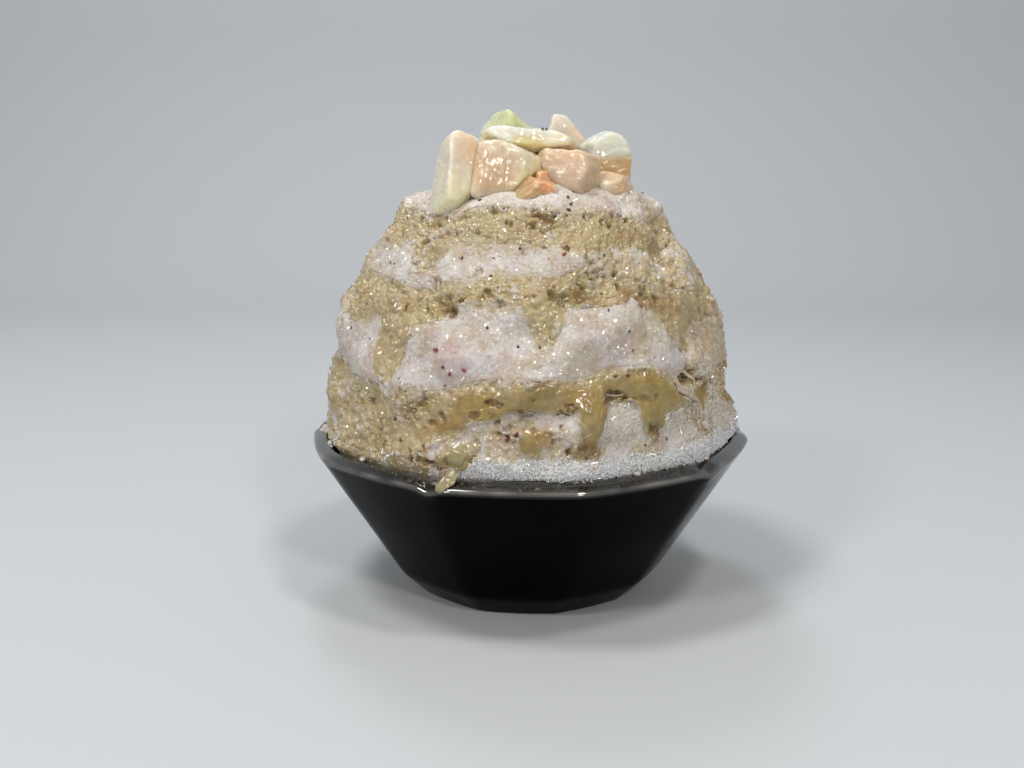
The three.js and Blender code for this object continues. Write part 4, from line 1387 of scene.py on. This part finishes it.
def buildRimDrip():
    angle, radius, height = np.array(rimDrip["onLip"]).T
    onLip = around(radius * bowlRoundness(angle), angle, height)
    stations = np.vstack([heapPlaces(rimDrip["onIce"]), onLip])
    centre = smoothCurve(stations, rimDrip["steps"])
    share = np.linspace(0, len(stations) - 1, len(centre))
    size, strength = rimDrip["unevenness"]
    lumps = 1 + strength * softNoise(centre, size, 101)
    width = lumps * np.interp(share, range(len(stations)), rimDrip["width"])
    thick = lumps * np.interp(share, range(len(stations)), rimDrip["thick"])
    drip = sweptThread(centre, width, thick, rimDrip["sides"])
    joinThreads("rim_drip", [drip], thinSauce())


def buildStrands():
    parts = []
    bend, depth = strandShape["bends"]
    size, strength = strandShape["unevenness"]
    for line, half in strands:
        centre = smoothCurve(heapPlaces(line), strandShape["steps"])
        arch = np.sin(math.pi * np.linspace(0, 1, len(centre)))
        centre = centre + depth * np.stack([softNoise(centre, bend, 106 + k) for k in range(3)], axis=1)
        taper = mix(strandShape["ends"], 1, arch) * (1 + strength * softNoise(centre, size, 102))
        width = strandShape["width"] * half * taper
        parts.append(sweptThread(centre, width, strandShape["flatness"] * width, strandShape["sides"]))
    marks = {"syrup": 0.5, "browningAndShade": 0.12, "smoothed": 0.2}
    joinThreads("half_melted_strands", parts, iceMaterial, marks)


def buildMeltWater():
    water = meltWater()
    angle, radius, size = np.array(lipDrops).T
    template = smallShape("icosphere", subdivisions=3, radius=1)
    height = np.interp(radius, lipSlope["radius"], lipSlope["height"]) + dropShape["off"]
    places = around(radius * bowlRoundness(angle), angle, height)
    frames = np.repeat(np.eye(3)[None], len(size), axis=0)
    sizes = size[:, None] * (1, 1, dropShape["flatness"])
    joinedCopies("lip_drops", template, places, frames, sizes, water, shadeSmooth=True)
    angle = np.linspace(lipFilm["from"], lipFilm["to"], lipFilm["rows"])
    height = np.full_like(angle, lipFilm["height"])
    centre = around(lipFilm["radius"] * bowlRoundness(angle), angle, height)
    swell = (1 + 0.5 * softNoise(centre, 4, 103)) * np.sin(np.linspace(0, math.pi, len(angle))) ** 0.4
    film = sweptThread(centre, lipFilm["width"] * swell, lipFilm["thick"] * swell)
    joinThreads("lip_film", [film], water)


# Fine loose threads of ice, each patch by its angle, height, half width and half height.
threadPatches = [(47, 69, 9, 8), (38, 71, 6, 5), (58, 72, 7, 10), (22, 70, 5, 5)]
threadLook = {
    "count": 2600, "low": 57, "high": 136, "length": (0.8, 2.6), "width": (0.08, 0.2), "rise": 0.2,
    "off": 0.15, "colour": "#f4ecdf", "roughness": 0.2,
    "spread": 0.55,  # how far they stray, as a share of the patch
}


def buildIceThreads():
    look = threadLook
    rng = np.random.default_rng(31)
    patches = np.array(threadPatches)[rng.integers(0, len(threadPatches), look["count"])]
    angle = patches[:, 0] + patches[:, 2] * rng.normal(0, look["spread"], look["count"])
    level = patches[:, 1] + patches[:, 3] * rng.normal(0, look["spread"], look["count"])
    along = np.interp(np.clip(level, look["low"], look["high"]), outline[:, 1], travelled)
    bare, height = heapPoints(angle, along)
    lift, marks = iceDetail(angle, height, bare)
    kept = np.flatnonzero((marks["smoothed"] < 0.4) & (marks["browningAndShade"] < 0.35))
    normals = heapNormals(angle[kept], along[kept])
    length = mix(*look["length"], rng.random(len(kept)) ** 1.4)
    width = mix(*look["width"], rng.random(len(kept)))
    template = smallShape("cone", cap_ends=True, segments=4, radius1=1, radius2=0.5, depth=1)
    places = heapPoints(angle[kept], along[kept], lift[kept] + look["off"])[0]
    frames = randomFrames(lyingOn(normals, look["rise"], rng), 0.1, rng)
    sizes = np.stack([width, width, length], axis=1)
    material = clearIce("ice threads", look["colour"], look["roughness"])
    joinedCopies("ice_threads", template, places, frames, sizes, material)


# Lumps of snow that have dropped on the lip: angle, radius, height above the lip and size.
lipLumps = [
    (-79, 71.5, 1.6, 1.7), (-74, 71, 2.6, 1.3), (-86, 71.6, 0.8, 1.2), (79, 71.4, 2.6, 1.6),
    (84, 72, 1.0, 1.2), (75, 70.8, 4.2, 1.2), (88, 71.4, 2.2, 0.9), (-66, 71.4, 0.8, 1.1),
    (-48, 71, 0.6, 1.0), (52, 71.2, 0.8, 1.0), (28, 71, 0.4, 0.8), (131, 71.2, 1.0, 1.3),
    (160, 71, 0.8, 1.1), (196, 71.2, 1.2, 1.4), (238, 71, 0.8, 1.2),
]
lumpBulges = [(1.6, 0.45), (0.8, 0.25)]  # size in mm, and share of the radius
lumpFlatness = 0.8


def buildLipLumps():
    bm = bmesh.new()
    for angle, radius, above, size in lipLumps:
        turn = np.array([float(angle)])
        place = around(radius * bowlRoundness(turn), turn, np.array([bowl["lipHeight"] + above]))[0]
        there = Matrix.Translation(Vector(place * mm))
        bmesh.ops.create_icosphere(bm, subdivisions=4, radius=size * mm, matrix=there)
    mesh = bpy.data.meshes.new("lumps")
    bm.to_mesh(mesh)
    bm.free()
    points = readPoints(mesh) / mm
    owner = np.repeat(np.arange(len(lipLumps)), len(points) // len(lipLumps))
    middle = np.array([points[owner == k].mean(axis=0) for k in range(len(lipLumps))])[owner]
    away = points - middle
    bulges = sum(by * softNoise(points, size, 104 + k) for k, (size, by) in enumerate(lumpBulges))
    writePoints(mesh, (middle + away * (1 + bulges)[:, None] * (1, 1, lumpFlatness)) * mm)
    newPiece("lip_snow", mesh, iceMaterial)


buildGrains()
buildRimDrip()
buildStrands()
buildMeltWater()
buildIceThreads()
buildLipLumps()
print("loose crystals, runs and drops done")

# at, turn, size and cuts are each piece's place, lean, half sizes and knife faces (which way, how far out).
# flesh and edge are its two colours, edgeWay the side where the second one shows, and grain the way its
# fibres run. Some pieces have a third colour, glow, towards glowWay.
peaches = {
    "peach_tall_wedge": {
        "at": (-22.2, -29.6, 141.6), "turn": (-16, 3, -20), "size": (8.4, 8, 14.6),
        "cuts": [
            ((-0.75, -1, 0.05), 5.8), ((1, -0.7, 0.1), 5), ((-0.6, -0.1, 0.8), 10.4), ((0.3, 0, 1), 12.8),
            ((0.75, 0, -0.6), 8.6), ((-1, -0.1, 0.2), 8), ((0.1, -0.7, -1), 12),
        ],
        "flesh": "#e6dccb", "edge": "#dfdba6", "edgeWay": (0.5, 0, -1), "grain": (0.2, 0, 1),
        "mottling": 0.3, "glow": "#ecc9a0", "glowWay": (1, -0.3, 0.35), "glowsAt": (0.1, 0.5),
    },
    "peach_front_chunk": {
        "at": (-7.4, -26.4, 142.2), "turn": (-6, 4, 6), "size": (12.6, 10, 10.6),
        "cuts": [
            ((0.05, -1, 0.28), 8), ((0.9, -0.45, -0.7), 8.8), ((0.42, -0.2, 1), 8.8), ((-0.1, 0, 1), 9.8),
            ((-1, -0.3, 0.2), 11), ((0.75, -0.85, 0.35), 9.6), ((-0.6, -1, 0.4), 9.8),
        ],
        "flesh": "#cbaa87", "edge": "#dfd6bc", "edgeWay": (0.6, 0, 1), "grain": (0.3, 0, 1),
        "mottling": 0.34, "glow": "#e2d39c", "glowWay": (0.9, -0.2, -0.6),
    },
    "peach_right_chunk": {
        "at": (12.2, -24.4, 141.8), "turn": (-6, -3, -6), "size": (10.8, 8.6, 8.4),
        "cuts": [
            ((0.1, -1, 0.5), 6.6), ((0.9, -0.5, 0.5), 8.6), ((-1, -0.45, 0.1), 9), ((0.1, 0.1, 1), 6.8),
            ((-0.5, -1, 0.1), 8), ((1, -0.5, -0.35), 9), ((-0.7, -0.6, -0.7), 8),
        ],
        "flesh": "#c4ad95", "edge": "#dfbfa0", "edgeWay": (0, 0, 1), "grain": (1, 0, -0.45),
        "mottling": 0.5, "glow": "#c8aa80", "glowWay": (1, 0, -0.7),
    },
    "peach_gap_chunk": {
        "at": (6.2, -24.4, 138.6), "turn": (4, 16, 20), "size": (6.6, 6.4, 5.6),
        "cuts": [((0.1, -1, 0.4), 5.2), ((-0.4, 0, 1), 5), ((0.8, 0, 0.7), 5.6)],
        "flesh": "#e8b68e", "edge": "#e39c64", "edgeWay": (0, 0, 1), "grain": (0, 0, 1),
    },
    "peach_low_sliver": {
        "at": (2, -34.2, 135.2), "turn": (10, 14, 6), "size": (7.6, 5, 5),
        "cuts": [((-0.75, -0.4, 0.8), 4.4), ((0.2, -1, 0.4), 4.4), ((0, -0.3, -1), 3.8)],
        "flesh": "#c09d6c", "edge": "#dc9d6c", "edgeWay": (0.9, 0, 0.7), "grain": (1, 0, 0.3),
        "turnsAt": (0.1, 0.75), "glow": "#dcb79c", "glowWay": (0, 0, -1),
    },
    "peach_low_crumb": {
        "at": (28, -17.4, 136.8), "turn": (0, 16, 24), "size": (8.6, 4.8, 4.4),
        "cuts": [((0.5, -0.8, 0.6), 4.2), ((0.8, 0.3, 0.6), 5.4), ((-0.5, -0.3, 0.9), 4.6)],
        "flesh": "#dcc0a0", "edge": "#d8a878", "edgeWay": (0, 0, -1), "grain": (1, 0, 0),
    },
    "peach_side_cube": {
        "at": (24.8, -7.4, 145.6), "turn": (2, 5, 8), "size": (9.2, 8.6, 10),
        "cuts": [
            ((-0.62, 0, 1), 8), ((0.25, 0, 1), 9.2), ((0.9, 0, 0.62), 8.6), ((1, 0, 0.05), 8),
            ((0.02, -1, 0.12), 7.2), ((-1, -0.4, 0), 8.2),
        ],
        "flesh": "#dfe2d5", "edge": "#c8a876", "edgeWay": (0.1, -0.1, -1), "grain": (1, 0, 0.3),
        "mottling": 0.14, "turnsAt": (-0.14, 0.26), "glow": "#c59a62", "glowWay": (0.3, -0.2, -1),
    },
    "peach_back_left": {
        "at": (-20.6, -7.6, 143), "turn": (-6, 6, 36), "size": (10.4, 10.8, 9.4),
        "cuts": [
            ((-1, 0.4, 0.5), 8.6), ((0.2, 1, 0.6), 9), ((0.1, -0.2, 1), 8), ((-0.5, -0.9, 0.3), 9),
            ((-0.8, 0.8, -0.2), 9.6),
        ],
        "flesh": "#ecd3ae", "edge": "#e6dca4", "edgeWay": (-0.5, 0, 1), "grain": (1, 0.4, 0.2),
    },
    "peach_back_right": {
        "at": (15.6, 10.4, 143.2), "turn": (8, -6, -24), "size": (11.2, 10.2, 9.2),
        "cuts": [
            ((0.1, 1, 0.5), 7.8), ((1, 0.3, 0.6), 9), ((-0.3, 0, 1), 7.8), ((0.7, 1, -0.1), 9.2),
            ((1, -0.6, 0), 9.8),
        ],
        "flesh": "#eccda4", "edge": "#ecdfb0", "edgeWay": (1, 0, 0.3), "grain": (0.3, 1, 0),
    },
    "peach_back_middle": {
        "at": (-7.2, 11.6, 142.8), "turn": (4, 8, 12), "size": (10.4, 9.8, 8.8),
        "cuts": [
            ((-0.4, 1, 0.5), 7.4), ((-1, 0.2, 0.6), 8.4), ((0.3, -0.1, 1), 7.4), ((0.5, 1, -0.1), 8.6),
            ((-0.9, 0.9, 0), 9),
        ],
        "flesh": "#ecd2aa", "edge": "#e3b583", "edgeWay": (0, 1, -0.6), "grain": (0, 1, 0.4),
    },
    "peach_top_slice": {
        "at": (0.2, -17.4, 151.3), "turn": (-8, 4.6, -3), "size": (17.4, 6.6, 6.2),
        "cuts": [
            ((0, -0.15, 1), 4.5), ((-0.4, -0.1, 1), 7.9), ((0.28, -0.1, 1), 5.7), ((0, -1, 0.45), 5.3),
            ((0, -0.8, -1), 5.5), ((-0.42, -0.2, -1), 5.4), ((0.25, -0.2, -1), 5.2), ((1, -0.5, 0.1), 14.2),
        ],
        "flesh": "#d3c28c", "edge": "#dcdacb", "edgeWay": (-0.1, -0.2, 1), "grain": (1, 0, -0.1),
        "turnsAt": (0, 0.2), "glow": "#c9b37a", "glowWay": (0.9, 0, -0.7),
    },
    "peach_top_green": {
        "at": (-6.4, -7, 152.9), "turn": (6, -10, 14), "size": (9.4, 8, 8.8),
        "cuts": [
            ((0.95, -0.2, 0.8), 6.8), ((-0.75, -0.2, 0.7), 6.2), ((-0.4, -1, 0.3), 7), ((0.5, -1, 0.2), 7),
        ],
        "flesh": "#d3d8a2", "edge": "#dfe3c4", "edgeWay": (-0.6, 0, -0.6), "grain": (0.3, 0, 1),
    },
    "peach_top_point": {
        "at": (10.4, -0.8, 151.8), "turn": (0, 4, -8), "size": (9.2, 8, 9.6),
        "cuts": [
            ((-1, -0.1, 0.16), 4.7), ((1, 0, 0.95), 6.9), ((0, 0, 1), 8.4), ((0, 1, 0.5), 7.2),
            ((0.2, -1, 0.2), 6.6),
        ],
        "flesh": "#dcd5c9", "edge": "#e2c7ac", "edgeWay": (1, 0, -0.6), "grain": (-0.3, 0, 1),
    },
}
peachShape = {
    "boxiness": 5,
    "sharpness": 21,
    "shrink": 0.05,  # mm
    "dents": [(9, 0.5), (4.4, 0.34), (2, 0.14)],  # size and depth of each layer, in mm
    "dentsIn": 0.6,  # how far the dents go in rather than out
    "fibre": (1.1, 0.22),
    "squeeze": 0.85,  # of the noise along the grain, which draws it out into fibres
    "rimAt": (1.08, 1.4),  # edges and corners, next to the usual distance from the middle
    "rimLight": 0.5,
    "turnsAt": (-0.25, 0.75),
    "glowsAt": (0.15, 0.8),
}


def peachPoints(ways, piece):
    # how far a rounded block with flat knife faces reaches each way
    shrink, boxiness, sharp = (peachShape[key] for key in ("shrink", "boxiness", "sharpness"))
    half = np.array(piece["size"]) - shrink
    block = (np.abs(ways / half) ** boxiness).sum(axis=1) ** (1 / boxiness)
    pressed = block**sharp
    for faces, by in piece["cuts"]:
        normal = np.array(Vector(faces).normalized())
        pressed = pressed + np.clip(ways @ normal / (by - shrink), 0, None) ** sharp
    return ways * pressed[:, None] ** (-1 / sharp)


def buildPeach(index, name, piece):
    bm = bmesh.new()
    bmesh.ops.create_icosphere(bm, subdivisions=5, radius=1)
    mesh = bpy.data.meshes.new(name)
    bm.to_mesh(mesh)
    bm.free()
    ways = readPoints(mesh)
    ways /= np.linalg.norm(ways, axis=1)[:, None]
    turn = np.array(Euler([math.radians(v) for v in piece["turn"]], "ZYX").to_matrix())
    points = peachPoints(ways, piece) @ turn.T + np.array(piece["at"])
    outward = ways @ turn.T
    grain = np.array(Vector(piece["grain"]).normalized())
    squeezed = points - peachShape["squeeze"] * (points @ grain)[:, None] * grain
    size, lift = peachShape["fibre"]
    inwards = peachShape["dentsIn"]
    dented = enumerate(peachShape["dents"])
    dents = sum(tall * (softNoise(points, wide, 90 + k) - inwards) for k, (wide, tall) in dented)
    fibres = lift * softNoise(squeezed, size, 93) + 0.5 * lift * softNoise(squeezed, size / 2, 94)
    points += (dents + fibres)[:, None] * outward
    writePoints(mesh, points * mm)
    edgeWay = np.array(Vector(piece["edgeWay"]).normalized())
    fromMiddle = (points - np.array(piece["at"])) / max(piece["size"])
    lean = fromMiddle @ edgeWay
    away = np.linalg.norm(fromMiddle, axis=1)
    # painted light: edges and corners, far from the middle, are made paler
    onRim = smooth(away / np.median(away) + 0.1 * softNoise(points, 3, 98), *peachShape["rimAt"])
    writeValues(mesh, "paintedEdgeLight", peachShape["rimLight"] * onRim)
    turnsAt = piece.get("turnsAt", peachShape["turnsAt"])
    writeValues(mesh, "edge", smooth(lean + 0.15 * softNoise(points, 5, 99), *turnsAt))
    if "glow" in piece:
        toGlow = fromMiddle @ np.array(Vector(piece["glowWay"]).normalized())
        glowsAt = piece.get("glowsAt", peachShape["glowsAt"])
        writeValues(mesh, "glow", smooth(toGlow + 0.1 * softNoise(points, 4, 97), *glowsAt))
    material = cutPeach("cut peach flesh " + str(index + 1), piece, grain)
    return newPiece("cut_" + name, mesh, material, [name])


cutPieces = {name: buildPeach(index, name, piece) for index, (name, piece) in enumerate(peaches.items())}
print("peach done")
buildBerryFlakes(cutPieces["peach_top_slice"])
print("berry flakes done")

stage = {
    "floor": "#cacdd0", "depth": 900, "front": 1400, "half": 1600, "bend": 260, "height": 1100, "steps": 12,
}


def buildStage():
    # a pale sweep: floor, soft bend and wall in one sheet
    bm = bmesh.new()
    bend = stage["bend"]
    arc = [(-stage["front"], 0)]
    for step in range(stage["steps"] + 1):
        turn = step / stage["steps"] * math.pi / 2
        arc.append((stage["depth"] - bend + bend * math.sin(turn), bend * (1 - math.cos(turn))))
    arc.append((stage["depth"], stage["height"]))
    line = [bm.verts.new((-stage["half"] * mm, y * mm, z * mm)) for y, z in arc]
    edges = [bm.edges.new(pair) for pair in zip(line, line[1:])]
    side = bmesh.ops.extrude_edge_only(bm, edges=edges)
    moved = [item for item in side["geom"] if isinstance(item, bmesh.types.BMVert)]
    bmesh.ops.translate(bm, verts=moved, vec=(2 * stage["half"] * mm, 0, 0))
    bmesh.ops.recalc_face_normals(bm, faces=bm.faces)
    mesh = bpy.data.meshes.new("stage")
    bm.to_mesh(mesh)
    bm.free()
    mesh.polygons.foreach_set("use_smooth", [True] * len(mesh.polygons))
    material, tree, shader = newMaterial("matt paper sweep")
    feed(tree, shader, {"Base Color": linear(stage["floor"]), "Roughness": 0.8})
    mesh.materials.append(material)
    sweep = bpy.data.objects.new("stage", mesh)
    bpy.context.scene.collection.objects.link(sweep)


lightsAim = (0, 0, 90)
roomLight = {"colour": "#e4eaf0", "strength": 0.28}
# place in mm, radius of the disc in mm, watts and colour
lights = {
    "overheadLeft": {"at": (-420, -260, 1180), "radius": 140, "watts": 4.7, "colour": "#fffdfa"},
    "overheadRight": {"at": (320, -420, 1160), "radius": 90, "watts": 3.2, "colour": "#fffbf4"},
    "frontLeft": {"at": (-560, -760, 760), "radius": 90, "watts": 2.9, "colour": "#fffdfa"},
    "frontRight": {"at": (360, -940, 720), "radius": 80, "watts": 3.0, "colour": "#fffbf4"},
    "back": {"at": (-160, 620, 1040), "radius": 140, "watts": 2.6, "colour": "#f4f8ff"},
}


def addLight(name, look):
    data = bpy.data.lights.new(name, "AREA")
    data.shape = "DISK"
    data.size = 2 * look["radius"] * mm
    data.energy = look["watts"]
    data.color = linear(look["colour"])[:3]
    light = bpy.data.objects.new(name, data)
    bpy.context.scene.collection.objects.link(light)
    light.location = Vector(look["at"]) * mm
    light.rotation_euler = (Vector(lightsAim) * mm - light.location).to_track_quat("-Z", "Y").to_euler()


view = {
    "at": (0.353, -406.6, 154.14), "pitch": 11.878, "turn": 0.847, "focalPixels": 1200, "imageWidth": 1024,
    "sensor": 36,  # mm
}


def addCamera():
    data = bpy.data.cameras.new("camera")
    data.sensor_width = view["sensor"]
    data.lens = view["focalPixels"] / view["imageWidth"] * data.sensor_width
    data.clip_start = 0.01
    camera = bpy.data.objects.new("camera", data)
    bpy.context.scene.collection.objects.link(camera)
    camera.location = Vector(view["at"]) * mm
    camera.rotation_euler = (math.radians(90 - view["pitch"]), 0, math.radians(view["turn"]))
    bpy.context.scene.camera = camera


def addRoomLight():
    world = bpy.data.worlds.new("soft room light")
    world.use_nodes = True
    background = world.node_tree.nodes["Background"]
    room = {"Color": linear(roomLight["colour"]), "Strength": roomLight["strength"]}
    feed(world.node_tree, background, room)
    bpy.context.scene.world = world


buildStage()
for name, look in lights.items():
    addLight(name, look)
addCamera()
addRoomLight()
bpy.context.scene.view_settings.view_transform = "Standard"
print("stage done")
